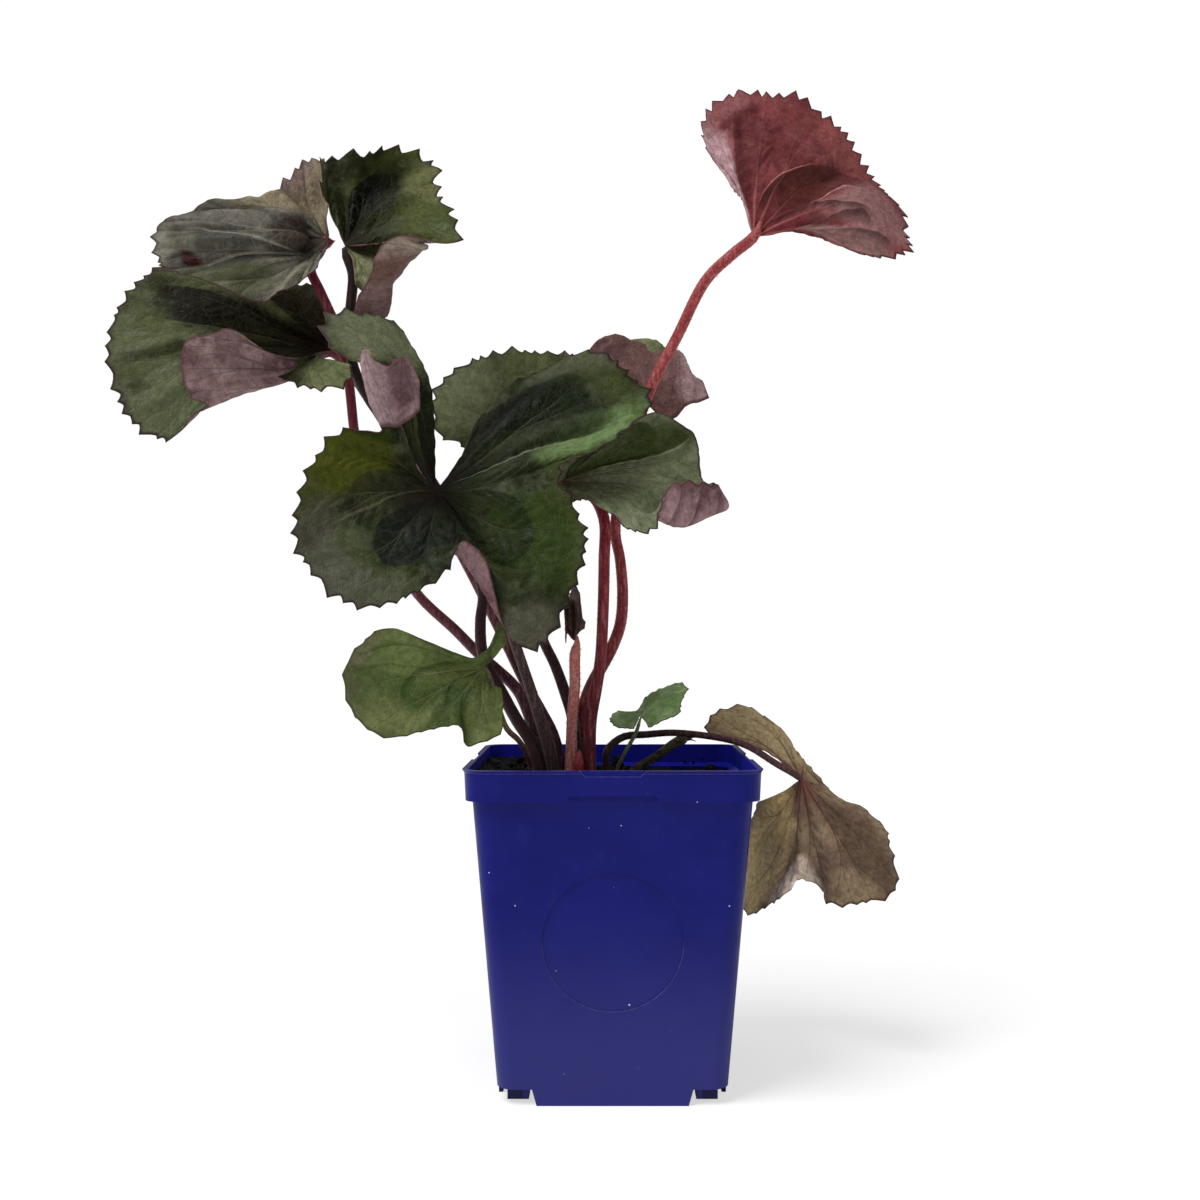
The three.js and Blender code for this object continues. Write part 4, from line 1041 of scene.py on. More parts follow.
# %% [markdown]
# ## Leaf materials
# The vein pattern is one node group that every leaf face uses. Each blade keeps two attributes: its
# place u, v, and the strayed place of the veins, so that the drawn veins lie exactly in the modelled
# creases. A fine net between the veins comes from cells in the object's own space.

# %% The vein group
def vein_group():
    """Masks for the veins, their side veins and the fine net, and a height for all three."""
    tree = bpy.data.node_groups.new("leaf veins", "ShaderNodeTree")
    for name in ("Pattern", "Place", "Point"):
        tree.interface.new_socket(name, in_out="INPUT", socket_type="NodeSocketVector")
    for name in ("Veins", "Sides", "Net", "U", "V", "Height"):
        tree.interface.new_socket(name, in_out="OUTPUT", socket_type="NodeSocketFloat")
    given = tree.nodes.new("NodeGroupInput")
    made = tree.nodes.new("NodeGroupOutput")
    split = tree.nodes.new("ShaderNodeSeparateXYZ")
    tree.links.new(given.outputs["Pattern"], split.inputs[0])
    u, reach, gap = split.outputs
    even = tree.nodes.new("ShaderNodeSeparateXYZ")
    tree.links.new(given.outputs["Place"], even.inputs[0])
    v = even.outputs[1]
    point = given.outputs["Point"]
    half = calc(tree, "FRACT", calc(tree, "MULTIPLY", u, 0.5))
    away = calc(tree, "ABSOLUTE", calc(tree, "SUBTRACT", half, 0.5))
    away = calc(tree, "MULTIPLY", away, calc(tree, "MULTIPLY", gap, 2.0))
    for share, low, high in FORKS:
        shift = calc(tree, "MULTIPLY", gap, ramp(tree, v, low, high, 0.0, share))
        away = calc(tree, "ABSOLUTE", calc(tree, "SUBTRACT", away, shift))
    width = ramp(tree, v, 0.0, 0.9, 0.34, 0.13)
    veins = ramp(tree, calc(tree, "DIVIDE", away, width), 0.5, 1.8, 1.0, 0.0)
    slope = calc(tree, "SUBTRACT", reach, calc(tree, "MULTIPLY", away, SIDE_SLOPE))
    phase = calc(tree, "FRACT", calc(tree, "DIVIDE", slope, SIDE_SPACING))
    near = calc(tree, "SUBTRACT", 0.5, calc(tree, "ABSOLUTE", calc(tree, "SUBTRACT", phase, 0.5)))
    sides = ramp(tree, near, 0.01, 0.045, 1.0, 0.0)
    sides = calc(tree, "MULTIPLY", sides, ramp(tree, v, 0.1, 0.3))
    wobble = new_node(tree, "ShaderNodeTexNoise")
    wobble.inputs["Scale"].default_value = 300
    tree.links.new(point, wobble.inputs["Vector"])
    small = new_node(tree, "ShaderNodeVectorMath", operation="SCALE")
    small.inputs["Scale"].default_value = 0.003
    tree.links.new(wobble.outputs["Color"], small.inputs[0])
    bent = new_node(tree, "ShaderNodeVectorMath", operation="ADD")
    tree.links.new(point, bent.inputs[0])
    tree.links.new(small.outputs[0], bent.inputs[1])
    cells = new_node(tree, "ShaderNodeTexVoronoi", feature="DISTANCE_TO_EDGE")
    cells.inputs["Scale"].default_value = 260
    tree.links.new(bent.outputs[0], cells.inputs["Vector"])
    net = ramp(tree, cells.outputs["Distance"], 0.015, 0.09, 1.0, 0.0)
    height = calc(tree, "ADD", veins, calc(tree, "MULTIPLY", sides, 0.7))
    height = calc(tree, "ADD", height, calc(tree, "MULTIPLY", net, 0.45))
    found = {"Veins": veins, "Sides": sides, "Net": net, "U": even.outputs[0], "V": v, "Height": height}
    for name, value in found.items():
        tree.links.new(value, made.inputs[name])
    return tree


VEINS = vein_group()
print("vein group:", len(VEINS.nodes), "nodes")


# %% The leaf face material
def shifted(tree, place, offset):
    """The same point, moved, so that two noises of one size differ."""
    node = new_node(tree, "ShaderNodeVectorMath", operation="ADD")
    tree.links.new(place, node.inputs[0])
    node.inputs[1].default_value = offset
    return node.outputs[0]


def tint_and_light_patch(tree, body, lines, ragged, patch):
    """A soft-edged patch of another colour: some are the leaf's own tint, others painted shade in hollows and
    painted light on lit folds. It takes its middle in u and v, its reach both ways, and how strongly it covers
    what is under it."""
    middle_u, middle_v, reach_u, reach_v, paint, share = patch
    across = calc(tree, "DIVIDE", calc(tree, "SUBTRACT", lines.outputs["U"], middle_u), reach_u)
    outwards = calc(tree, "DIVIDE", calc(tree, "SUBTRACT", lines.outputs["V"], middle_v), reach_v)
    outwards = calc(tree, "MULTIPLY", outwards, outwards)
    away = calc(tree, "SQRT", calc(tree, "MULTIPLY_ADD", across, across, outwards))
    away = calc(tree, "ADD", away, ragged)
    return mix(tree, ramp(tree, away, 0.5, 1.1, share, 0.0), body, colour(*paint))


def painted_fold_shading(tree, body, lines, ragged, shade):
    """Painted shade, and with a pale colour a painted highlight, along a bent line through three (v, u) places,
    as a fold throws it. It fades over its two widths in rays, so a small width gives a crisp edge on that side."""
    line, rise, fall, paint, share = shade
    a, b, c = line_sums(line)
    low, high = line[0][0], line[2][0]
    v = lines.outputs["V"]
    bent = calc(tree, "MULTIPLY_ADD", calc(tree, "MULTIPLY_ADD", v, c, b), v, a)
    across = calc(tree, "SUBTRACT", calc(tree, "MULTIPLY_ADD", ragged, 0.4, lines.outputs["U"]), bent)
    before = calc(tree, "DIVIDE", calc(tree, "MINIMUM", across, 0.0), -rise)
    after = calc(tree, "DIVIDE", calc(tree, "MAXIMUM", across, 0.0), fall)
    cover = ramp(tree, calc(tree, "ADD", before, after), 0.0, 1.0, share, 0.0)
    starts = ramp(tree, v, low - 0.06, low + 0.08)
    stops = ramp(tree, v, high - 0.08, high + 0.06, 1.0, 0.0)
    cover = calc(tree, "MULTIPLY", cover, calc(tree, "MULTIPLY", starts, stops))
    return mix(tree, cover, body, colour(*paint))


def painted_hollow_shade(tree, body, lines, ragged, bowl):
    """Painted shade in a hollow that ends in a crisp arc: dark just inside its edge, and fading towards its middle.
    """
    middle_u, middle_v, reach_u, reach_v, paint, share = bowl
    across = calc(tree, "DIVIDE", calc(tree, "SUBTRACT", lines.outputs["U"], middle_u), reach_u)
    outwards = calc(tree, "DIVIDE", calc(tree, "SUBTRACT", lines.outputs["V"], middle_v), reach_v)
    outwards = calc(tree, "MULTIPLY", outwards, outwards)
    away = calc(tree, "SQRT", calc(tree, "MULTIPLY_ADD", across, across, outwards))
    away = calc(tree, "MULTIPLY_ADD", ragged, 0.15, away)
    inside = ramp(tree, away, 0.97, 1.04, share, 0.0)
    cover = calc(tree, "MULTIPLY", inside, ramp(tree, away, 0.1, 0.95, 0.35, 1.0))
    return mix(tree, cover, body, colour(*paint))


def leaf_material(name, paint, underside, offset):
    """One face of a leaf. paint names its colours and how strongly each shows."""
    roughness = 0.6 if underside else 0.5
    material, tree, shader = new_material(name, roughness=roughness, specular=paint.get("specular", 0.06))
    point = object_place(tree)
    lines = new_node(tree, "ShaderNodeGroup", node_tree=VEINS)
    for socket, attribute in (("Pattern", "leaf_pattern"), ("Place", "leaf_place")):
        read = new_node(tree, "ShaderNodeAttribute", attribute_name=attribute)
        tree.links.new(read.outputs["Vector"], lines.inputs[socket])
    tree.links.new(point, lines.inputs["Point"])
    along = lines.outputs["V"]
    moved = shifted(tree, point, (offset, 2 * offset, 0))
    clouds = ramp(tree, noise(tree, moved, 0.022, detail=3), 0.38, 0.62)
    body = mix(tree, clouds, colour(*paint["deep"]), colour(*paint["fresh"]))
    moved = shifted(tree, point, (0, offset, 1))
    bloom = ramp(tree, noise(tree, moved, 0.016, detail=5, roughness=0.65), 0.5, 0.68)
    bloom = calc(tree, "MULTIPLY", bloom, paint.get("bloom_share", 0.4))
    body = mix(tree, bloom, body, colour(*paint["bloom"]))
    heart = ramp(tree, along, 0.02, paint.get("heart_reach", 0.45), 0.9, 0.0)
    body = mix(tree, heart, body, colour(*paint["heart"]))
    ragged = calc(tree, "MULTIPLY", calc(tree, "SUBTRACT", noise(tree, moved, 0.012), 0.5), 0.9)
    # Some spots are the leaf's own tints, others painted shade and painted light; the hollows after them are painted
    # shade, and the fold lines painted shade with pale painted highlights.
    for patch in paint.get("tint_and_light_patches", ()):
        body = tint_and_light_patch(tree, body, lines, ragged, patch)
    for bowl in paint.get("hollow_shades", ()):
        body = painted_hollow_shade(tree, body, lines, ragged, bowl)
    for shade in paint.get("fold_shading_lines", ()):
        body = painted_fold_shading(tree, body, lines, ragged, shade)
    specks = ramp(tree, noise(tree, point, 0.0026, detail=5, roughness=0.7), 0.3, 0.7, 0.76, 1.24)
    body = mix(tree, 1.0, body, specks, mode="MULTIPLY")
    body = mix(tree, ramp(tree, along, 0.975, 0.998, 0.0, 0.85), body, colour(*paint["margin"]))
    fade = ramp(tree, along, 0.1, paint.get("vein_reach", 1.2), 1.0, 0.15)
    vein_paint = mix(tree, ramp(tree, along, 0.12, 0.45), colour(*paint["vein_root"]), colour(*paint["vein"]))
    for part in ("Net", "Sides", "Veins"):
        share = calc(tree, "MULTIPLY", lines.outputs[part], paint.get(part.lower(), 0.1))
        body = mix(tree, calc(tree, "MULTIPLY", share, fade), body, vein_paint)
    tree.links.new(body, shader.inputs["Base Color"])
    shine = ramp(tree, noise(tree, point, 0.006, detail=4), 0.3, 0.7, roughness - 0.12, roughness + 0.14)
    tree.links.new(shine, shader.inputs["Roughness"])
    grain = calc(tree, "MULTIPLY", noise(tree, point, 0.0016, detail=3), 1.1)
    way = "ADD" if underside else "SUBTRACT"
    bump(tree, shader, calc(tree, way, grain, lines.outputs["Height"]), 0.75, 0.32 * MM)
    return material


def stem_material(name, foot, top, streak):
    """A stem that changes colour from foot to top, with fine lengthwise streaks."""
    material, tree, shader = new_material(name, roughness=0.5, specular=0.16)
    shader.inputs["Sheen Weight"].default_value = 0.06
    point = object_place(tree)
    along = new_node(tree, "ShaderNodeAttribute", attribute_name="stem_along").outputs["Fac"]
    body = mix(tree, ramp(tree, along, 0.1, 0.8), foot, top)
    longways = new_node(tree, "ShaderNodeMapping")
    longways.inputs["Scale"].default_value = (1, 1, 0.12)
    tree.links.new(point, longways.inputs["Vector"])
    lines = ramp(tree, noise(tree, longways.outputs[0], 0.0012, detail=3), 0.45, 0.7)
    body = mix(tree, calc(tree, "MULTIPLY", lines, 0.35), body, streak)
    specks = ramp(tree, noise(tree, point, 0.0009, detail=4), 0.35, 0.65, 0.68, 1.32)
    body = mix(tree, 1.0, body, specks, mode="MULTIPLY")
    tree.links.new(body, shader.inputs["Base Color"])
    bump(tree, shader, noise(tree, longways.outputs[0], 0.0009), 0.35, 0.2 * MM)
    return material


def hair_material():
    material, tree, shader = new_material("pale hairs", roughness=0.7, specular=0.3)
    tone = noise(tree, object_place(tree), 0.01)
    body = mix(tree, tone, colour(104, 76, 76), colour(178, 152, 146))
    tree.links.new(body, shader.inputs["Base Color"])
    return material


HAIRS = hair_material()
print("materials have", HAIRS.name)

# %% [markdown]
# ## How each leaf looks
# The upper faces are dark green with purple near the heart and along the margin, the undersides are
# mauve to burgundy with paler veins. Over these lie painted shade in hollows and along folds, and
# painted light and highlights on lit folds and crests. The numbers say how deep the creases are, in millimetres.

# %% Paints
DARK_GREEN = dict(
    deep=(34, 38, 20),
    fresh=(64, 74, 38),
    bloom=(94, 98, 78),
    heart=(34, 30, 28),
    margin=(44, 26, 30),
    vein=(104, 110, 84),
    vein_root=(58, 36, 36),
    veins=0.4,
    sides=0.3,
    net=0.12,
)
PAINTS = {
    "leaf_cup": dict(
        # The near-black heart over most of the blade, the black first spot and both hollows are painted shade in the
        # deep cup.
        DARK_GREEN, deep=(24, 27, 8), fresh=(58, 64, 24), heart=(8, 9, 2), heart_reach=0.85, veins=0.1,
        tint_and_light_patches=(
            (12.4, 0.45, 2.4, 0.42, (3, 4, 0), 0.94),
            (8.6, 0.75, 1.4, 0.35, (67, 74, 35), 0.8),
            (10.5, 0.9, 1.3, 0.25, (100, 104, 62), 0.7),
            (17.0, 0.7, 1.0, 0.6, (34, 42, 14), 0.75),
            (1.0, 0.6, 1.5, 0.6, (126, 128, 94), 0.85),
        ),
        hollow_shades=((13.0, 0.3, 2.1, 0.48, (4, 5, 0), 0.85), (10.6, 0.3, 1.2, 0.36, (16, 20, 4), 0.7)),
    ),
    "leaf_grey": dict(
        DARK_GREEN, deep=(64, 62, 54), fresh=(112, 108, 96), bloom=(142, 136, 122), bloom_share=0.3,
        heart=(56, 48, 40), margin=(62, 50, 48), vein=(146, 142, 130), net=0.12,
        tint_and_light_patches=(
            (1.5, 0.75, 2.6, 0.4, (136, 122, 98), 0.8),
            (1.6, 0.25, 1.8, 0.2, (120, 108, 82), 0.9),
            (4.0, 0.7, 1.2, 0.3, (150, 136, 108), 0.6),
            (2.5, 1.0, 1.2, 0.2, (146, 124, 118), 0.7),
            (7.5, 0.33, 2.5, 0.16, (48, 32, 26), 0.85),
            (6.4, 0.7, 0.7, 0.3, (112, 107, 99), 0.6),
            # This dark red spot is painted shade inside the pocket that the front lobe makes.
            (8.95, 0.85, 0.62, 0.06, (40, 6, 5), 1.0),
            (12.0, 0.7, 1.0, 0.5, (124, 120, 104), 0.7),
            (10.2, 0.8, 1.0, 0.3, (74, 76, 50), 0.8),
        ),
        fold_shading_lines=(
            (((0.25, 9.7), (0.55, 9.3), (0.82, 9.6)), 0.12, 0.7, (44, 42, 38), 0.75),
            (((0.25, 9.5), (0.55, 9.1), (0.8, 9.4)), 0.14, 0.1, (150, 146, 134), 0.5),
            (((0.25, 9.2), (0.5, 8.2), (0.8, 7.6)), 0.1, 0.6, (50, 48, 44), 0.7),
            (((0.3, 8.9), (0.5, 8.0), (0.8, 7.3)), 0.16, 0.1, (146, 142, 132), 0.5),
            (((0.3, 8.4), (0.5, 7.4), (0.72, 6.6)), 0.1, 0.5, (56, 54, 50), 0.65),
            (((0.3, 7.2), (0.5, 6.2), (0.8, 5.6)), 0.5, 0.1, (58, 56, 52), 0.6),
            (((0.3, 10.6), (0.6, 10.3), (0.9, 10.4)), 0.1, 0.4, (60, 60, 46), 0.6),
        ),
    ),
    "leaf_broad": dict(
        DARK_GREEN, deep=(44, 46, 22), fresh=(76, 82, 50), bloom=(100, 104, 82), heart=(26, 18, 8),
        heart_reach=0.8, veins=0.25, tint_and_light_patches=(
            (1.2, 0.6, 1.8, 0.5, (32, 23, 9), 0.85),
            (4.0, 0.66, 1.3, 0.22, (12, 13, 0), 0.9),
            (3.2, 0.4, 1.6, 0.3, (30, 22, 10), 0.7),
            (8.5, 0.85, 2.0, 0.25, (98, 104, 76), 0.6),
            (5.9, 0.9, 1.0, 0.2, (86, 89, 62), 0.6),
            (20.0, 0.8, 2.0, 0.5, (111, 118, 80), 0.9),
        ),
        fold_shading_lines=(
            (((0.36, 2.1), (0.65, 2.2), (0.98, 2.9)), 0.8, 0.5, (86, 92, 56), 0.8),
            (((0.05, 2.6), (0.55, 2.75), (0.92, 3.5)), 0.09, 1.9, (16, 12, 3), 0.9),
            (((0.06, 1.9), (0.35, 1.75), (0.95, 1.8)), 0.9, 0.08, (18, 16, 5), 0.75),
            (((0.15, 6.4), (0.4, 5.2), (0.78, 4.7)), 1.3, 0.1, (24, 17, 8), 0.75),
            (((0.16, 6.55), (0.4, 5.35), (0.78, 4.85)), 0.09, 0.12, (92, 98, 66), 0.5),
            (((0.15, 7.4), (0.5, 6.6), (0.95, 6.4)), 0.7, 0.1, (24, 22, 10), 0.6),
        ),
    ),
    "leaf_front": dict(
        DARK_GREEN, deep=(26, 30, 13), fresh=(52, 60, 26), heart=(26, 24, 22), heart_reach=0.5, veins=0.2,
        sides=0.14, net=0.09,
        # The near-black spots on the upper right lobe are painted shade, and the pale green band across it is a
        # painted highlight.
        tint_and_light_patches=(
            (1.0, 0.3, 2.0, 0.35, (13, 14, 4), 0.88),
            (1.5, 0.85, 2.0, 0.25, (106, 110, 84), 0.75),
            (9.6, 0.74, 1.5, 0.36, (66, 70, 14), 0.9),
            (12.8, 0.9, 2.0, 0.22, (76, 78, 63), 0.85),
            (11.2, 0.86, 0.8, 0.2, (58, 54, 48), 0.6),
            (14.0, 0.45, 2.4, 0.3, (31, 33, 28), 0.85),
            (18.2, 0.5, 0.9, 0.5, (30, 36, 22), 0.85),
            (21.2, 0.7, 1.6, 0.34, (40, 56, 15), 0.85),
            (18.8, 0.92, 1.2, 0.2, (77, 76, 62), 0.65),
            (24.0, 0.42, 1.5, 0.3, (32, 40, 22), 0.8),
            (25.0, 0.8, 1.4, 0.3, (102, 124, 78), 0.8),
            (27.3, 0.62, 1.1, 0.3, (9, 23, 1), 0.88),
            (28.4, 0.5, 1.9, 0.42, (7, 12, 1), 0.9),
            (29.8, 0.35, 1.8, 0.45, (2, 2, 1), 0.92),
            (28.6, 0.94, 1.4, 0.16, (78, 80, 60), 0.6),
        ),
        hollow_shades=(
            (14.5, 0.33, 2.6, 0.38, (20, 22, 18), 0.8),
            (21.0, 0.33, 1.8, 0.37, (18, 27, 8), 0.75),
            (7.2, 0.3, 1.6, 0.36, (24, 24, 14), 0.4),
            (10.9, 0.35, 1.0, 0.3, (34, 34, 22), 0.6),
        ),
        fold_shading_lines=(
            (((0.05, 25.9), (0.45, 25.45), (0.85, 25.2)), 0.14, 2.6, (14, 20, 5), 0.8),
            (((0.06, 25.75), (0.45, 25.3), (0.72, 25.05)), 0.13, 0.13, (116, 124, 96), 0.6),
            (((0.05, 20.6), (0.3, 19.6), (0.62, 18.6)), 1.0, 0.14, (14, 14, 10), 0.8),
            (((0.1, 6.2), (0.5, 7.3), (0.85, 8.4)), 1.8, 0.14, (22, 24, 10), 0.65),
            (((0.05, 10.6), (0.4, 11.3), (0.75, 11.5)), 0.1, 0.1, (96, 90, 70), 0.4),
        ),
    ),
    "leaf_behind": dict(
        DARK_GREEN, deep=(78, 82, 54), fresh=(116, 122, 88), bloom=(146, 150, 120), veins=0.3,
        tint_and_light_patches=(
            (8.4, 0.85, 2.0, 0.3, (132, 139, 103), 0.6),
            (5.5, 0.85, 1.2, 0.2, (93, 100, 62), 0.7),
        ),
    ),
    "leaf_right": dict(
        DARK_GREEN, deep=(88, 94, 68), fresh=(112, 118, 90), bloom=(132, 136, 112), heart=(90, 92, 70),
        veins=0.12, net=0.2,
        tint_and_light_patches=(
            (8.4, 0.9, 1.0, 0.3, (96, 102, 76), 0.6),
            (14.6, 1.0, 2.2, 0.2, (150, 138, 124), 0.7),
        ),
        # The hollow and the first fold line are painted shade in the pocket under leaf_front, and the second fold
        # line a painted highlight on its crease.
        hollow_shades=((12.6, 0.4, 2.9, 0.47, (40, 50, 14), 0.85),),
        fold_shading_lines=(
            (((0.1, 10.2), (0.45, 9.6), (1.0, 10.2)), 0.08, 3.4, (50, 60, 18), 0.86),
            (((0.12, 10.1), (0.45, 9.5), (0.95, 10.1)), 0.09, 0.09, (150, 154, 128), 0.5),
        ),
    ),
    "leaf_round": dict(
        DARK_GREEN, deep=(66, 76, 38), fresh=(94, 106, 58), bloom=(124, 130, 94), heart=(80, 90, 46),
        margin=(60, 60, 38), vein=(136, 144, 104), vein_root=(120, 124, 88), veins=0.35,
        tint_and_light_patches=(
            (3.4, 0.75, 1.4, 0.3, (97, 110, 65), 0.6),
            (6.5, 0.85, 1.6, 0.2, (124, 127, 83), 0.65),
            (4.6, 0.97, 1.6, 0.1, (112, 104, 84), 0.6),
            (10.8, 0.7, 1.4, 0.4, (86, 93, 56), 0.7),
        ),
        hollow_shades=((7.2, 0.95, 2.5, 0.62, (58, 76, 38), 0.6),),
        fold_shading_lines=(
            (((0.2, 3.2), (0.45, 4.5), (0.68, 6.3)), 0.08, 1.1, (44, 64, 28), 0.8),
            (((0.2, 6.4), (0.45, 7.8), (0.75, 8.4)), 0.07, 0.7, (42, 62, 30), 0.75),
            (((0.2, 9.7), (0.55, 9.3), (0.85, 9.2)), 0.06, 0.6, (46, 66, 32), 0.7),
            (((0.3, 2.6), (0.6, 3.1), (0.96, 4.4)), 0.3, 0.05, (44, 62, 26), 0.6),
            (((0.4, 4.7), (0.7, 4.5), (0.97, 4.9)), 0.05, 0.25, (52, 66, 32), 0.5),
        ),
    ),
    "leaf_seedling": dict(
        DARK_GREEN, deep=(104, 130, 80), fresh=(148, 170, 124), bloom=(172, 186, 152), heart=(124, 146, 100),
        margin=(78, 84, 52), vein=(134, 150, 106), vein_root=(134, 150, 106),
    ),
    "leaf_drooping": dict(
        DARK_GREEN, deep=(106, 86, 72), fresh=(134, 116, 90), bloom=(146, 124, 112), heart=(108, 74, 64),
        margin=(66, 48, 40), vein=(98, 54, 50), vein_root=(110, 58, 54), veins=0.75,
        tint_and_light_patches=(
            # The first spot is painted light on the left half, which lies in the pot's shadow.
            (2.0, 0.6, 2.8, 0.6, (222, 195, 134), 0.92),
            (5.6, 0.92, 1.6, 0.25, (242, 218, 196), 0.9),
            (10.5, 0.6, 1.8, 0.5, (76, 62, 49), 0.8),
            (17.5, 0.6, 2.6, 0.6, (176, 157, 119), 0.8),
        ),
    ),
    "leaf_withered": dict(
        DARK_GREEN, deep=(44, 26, 18), fresh=(88, 50, 34), bloom=(120, 84, 50), heart=(60, 34, 28),
        margin=(40, 24, 20), vein=(110, 70, 60), specular=0.6,
    ),
}
MAUVE = dict(
    deep=(88, 62, 66),
    fresh=(120, 94, 96),
    bloom=(150, 126, 126),
    heart=(96, 60, 64),
    margin=(84, 54, 58),
    vein=(84, 54, 60),
    vein_root=(84, 54, 60),
    veins=0.35,
    sides=0.2,
    net=0.06,
)
BURGUNDY = dict(
    deep=(86, 36, 39),
    fresh=(115, 56, 57),
    bloom=(132, 76, 78),
    heart=(106, 44, 48),
    margin=(70, 36, 38),
    vein=(190, 120, 116),
    vein_root=(190, 120, 116),
    veins=0.35,
    sides=0.08,
    net=0.05,
    vein_reach=0.45,
    # The pale spot on the left flank is painted light, and the dark one in the middle is painted shade in a hollow.
    tint_and_light_patches=(
        (11.2, 0.75, 1.4, 0.4, (138, 101, 101), 0.8),
        (12.8, 0.7, 0.8, 0.4, (134, 104, 101), 0.75),
        (9.0, 0.45, 1.5, 0.3, (98, 48, 44), 0.85),
        (1.5, 0.6, 1.8, 0.6, (196, 160, 164), 0.88),
        (3.5, 0.95, 1.5, 0.12, (140, 86, 88), 0.6),
        (8.0, 0.9, 1.5, 0.15, (138, 80, 76), 0.5),
    ),
    fold_shading_lines=(
        (((0.18, 3.3), (0.5, 3.35), (0.85, 3.9)), 0.1, 1.2, (72, 30, 34), 0.82),
        (((0.16, 5.5), (0.45, 7.45), (0.8, 8.95)), 0.1, 1.9, (74, 38, 35), 0.82),
        (((0.16, 5.4), (0.38, 7.0), (0.56, 7.95)), 0.06, 0.06, (196, 132, 124), 0.75),
        (((0.34, 10.5), (0.5, 9.98), (0.72, 10.1)), 1.1, 0.1, (72, 38, 36), 0.7),
        (((0.36, 10.5), (0.5, 10.02), (0.68, 10.1)), 0.07, 0.09, (190, 138, 130), 0.7),
        (((0.1, 9.2), (0.38, 10.5), (0.7, 11.4)), 0.07, 0.5, (56, 32, 34), 0.8),
        (((0.36, 12.6), (0.52, 11.65), (0.74, 11.75)), 0.06, 0.5, (62, 38, 40), 0.8),
        (((0.56, 12.8), (0.7, 12.2), (0.92, 12.1)), 0.06, 0.4, (66, 44, 46), 0.75),
        (((0.25, 5.0), (0.55, 5.6), (0.85, 6.4)), 0.08, 0.3, (86, 44, 44), 0.6),
    ),
)
UNDERSIDES = {
    "leaf_burgundy": BURGUNDY,
    "leaf_cup": dict(
        MAUVE, deep=(88, 66, 64), fresh=(122, 98, 94),
        tint_and_light_patches=((6.0, 0.8, 1.2, 0.4, (146, 132, 117), 0.8), (4.2, 0.9, 0.9, 0.2, (94, 67, 58), 0.75)),
    ),
    "leaf_front": dict(
        MAUVE,
        tint_and_light_patches=(
            (4.2, 0.9, 0.7, 0.3, (108, 56, 60), 0.85),
            # This pale spot is a painted highlight.
            (6.8, 0.8, 0.9, 0.3, (150, 126, 128), 0.75),
            (5.6, 0.75, 0.5, 0.2, (66, 46, 48), 0.75),
        ),
    ),
    "leaf_broad": dict(
        MAUVE, deep=(100, 76, 76), fresh=(139, 115, 113), bloom=(164, 144, 140), vein=(66, 42, 48), veins=0.6,
        sides=0.35,
    ),
    "leaf_right": dict(
        MAUVE, deep=(106, 78, 80), fresh=(146, 116, 118), bloom=(176, 150, 148),
        fold_shading_lines=(
            (((0.7, 6.3), (0.85, 6.9), (1.0, 7.1)), 0.05, 0.4, (86, 58, 62), 0.8),
            (((0.72, 7.2), (0.86, 7.5), (1.0, 7.6)), 0.05, 0.3, (92, 62, 66), 0.75),
            (((0.74, 5.9), (0.86, 6.2), (1.0, 6.3)), 0.05, 0.3, (90, 62, 64), 0.7),
        ),
    ),
    "leaf_behind": dict(
        MAUVE, deep=(78, 53, 51), fresh=(108, 80, 77), bloom=(134, 110, 107),
        tint_and_light_patches=((0.6, 0.8, 0.9, 0.4, (152, 124, 124), 0.8),),
    ),
    "leaf_drooping": dict(MAUVE, deep=(104, 86, 70), fresh=(124, 108, 84), heart=(104, 66, 60)),
    "leaf_round": PAINTS["leaf_round"],
}
LOOK = dict(swell=1.6, crease=0.7, side=0.5, wave=0.8, ruffle=0.5, hairs=500, hair_length=1.1, folds=())
LOOKS = {name: dict(LOOK) for name in LEAVES}
LOOKS["leaf_burgundy"].update(swell=1.2, crease=0.6, side=0.6, wave=0.8, hairs=1800, folds=(
    (((0.18, 3.3), (0.5, 3.35), (0.85, 3.9)), -2.8, 2.4, 0.45),
    (((0.16, 5.5), (0.45, 7.45), (0.8, 8.95)), -2.8, 1.9, 0.45),
    (((0.3, 10.6), (0.5, 9.98), (0.8, 10.1)), -1.8, 0.5, 1.6),
    (((0.1, 9.2), (0.38, 10.5), (0.7, 11.4)), -1.4, 0.5, 0.5),
    (((0.36, 12.6), (0.52, 11.65), (0.85, 11.75)), -1.4, 0.5, 0.6),
    (((0.56, 12.8), (0.7, 12.2), (0.92, 12.1)), -1.0, 0.5, 0.5),
))
LOOKS["leaf_front"].update(swell=1.2, crease=0.5, folds=(
    (((0.06, 25.9), (0.45, 25.45), (0.9, 25.2)), -3.2, 2.4, 2.2),
    (((0.06, 20.6), (0.3, 19.6), (0.7, 18.6)), -2.2, 0.9, 1.4),
    (((0.3, 22.9), (0.6, 22.4), (0.9, 22.0)), 1.4, 1.3, 1.3),
    (((0.1, 12.9), (0.4, 13.0), (0.75, 13.1)), -2.4, 2.0, 2.0),
    (((0.1, 9.0), (0.5, 9.1), (0.9, 9.2)), -1.6, 1.2, 1.6),
))
LOOKS["leaf_cup"].update(swell=1.1, crease=0.4, folds=(
    (((0.1, 12.5), (0.5, 12.6), (0.95, 12.7)), -2.6, 2.2, 1.4),
    (((0.2, 10.0), (0.6, 10.2), (0.95, 10.4)), 1.6, 1.2, 1.2),
    (((0.1, 15.0), (0.5, 15.0), (0.9, 15.0)), -1.4, 1.0, 1.0),
))
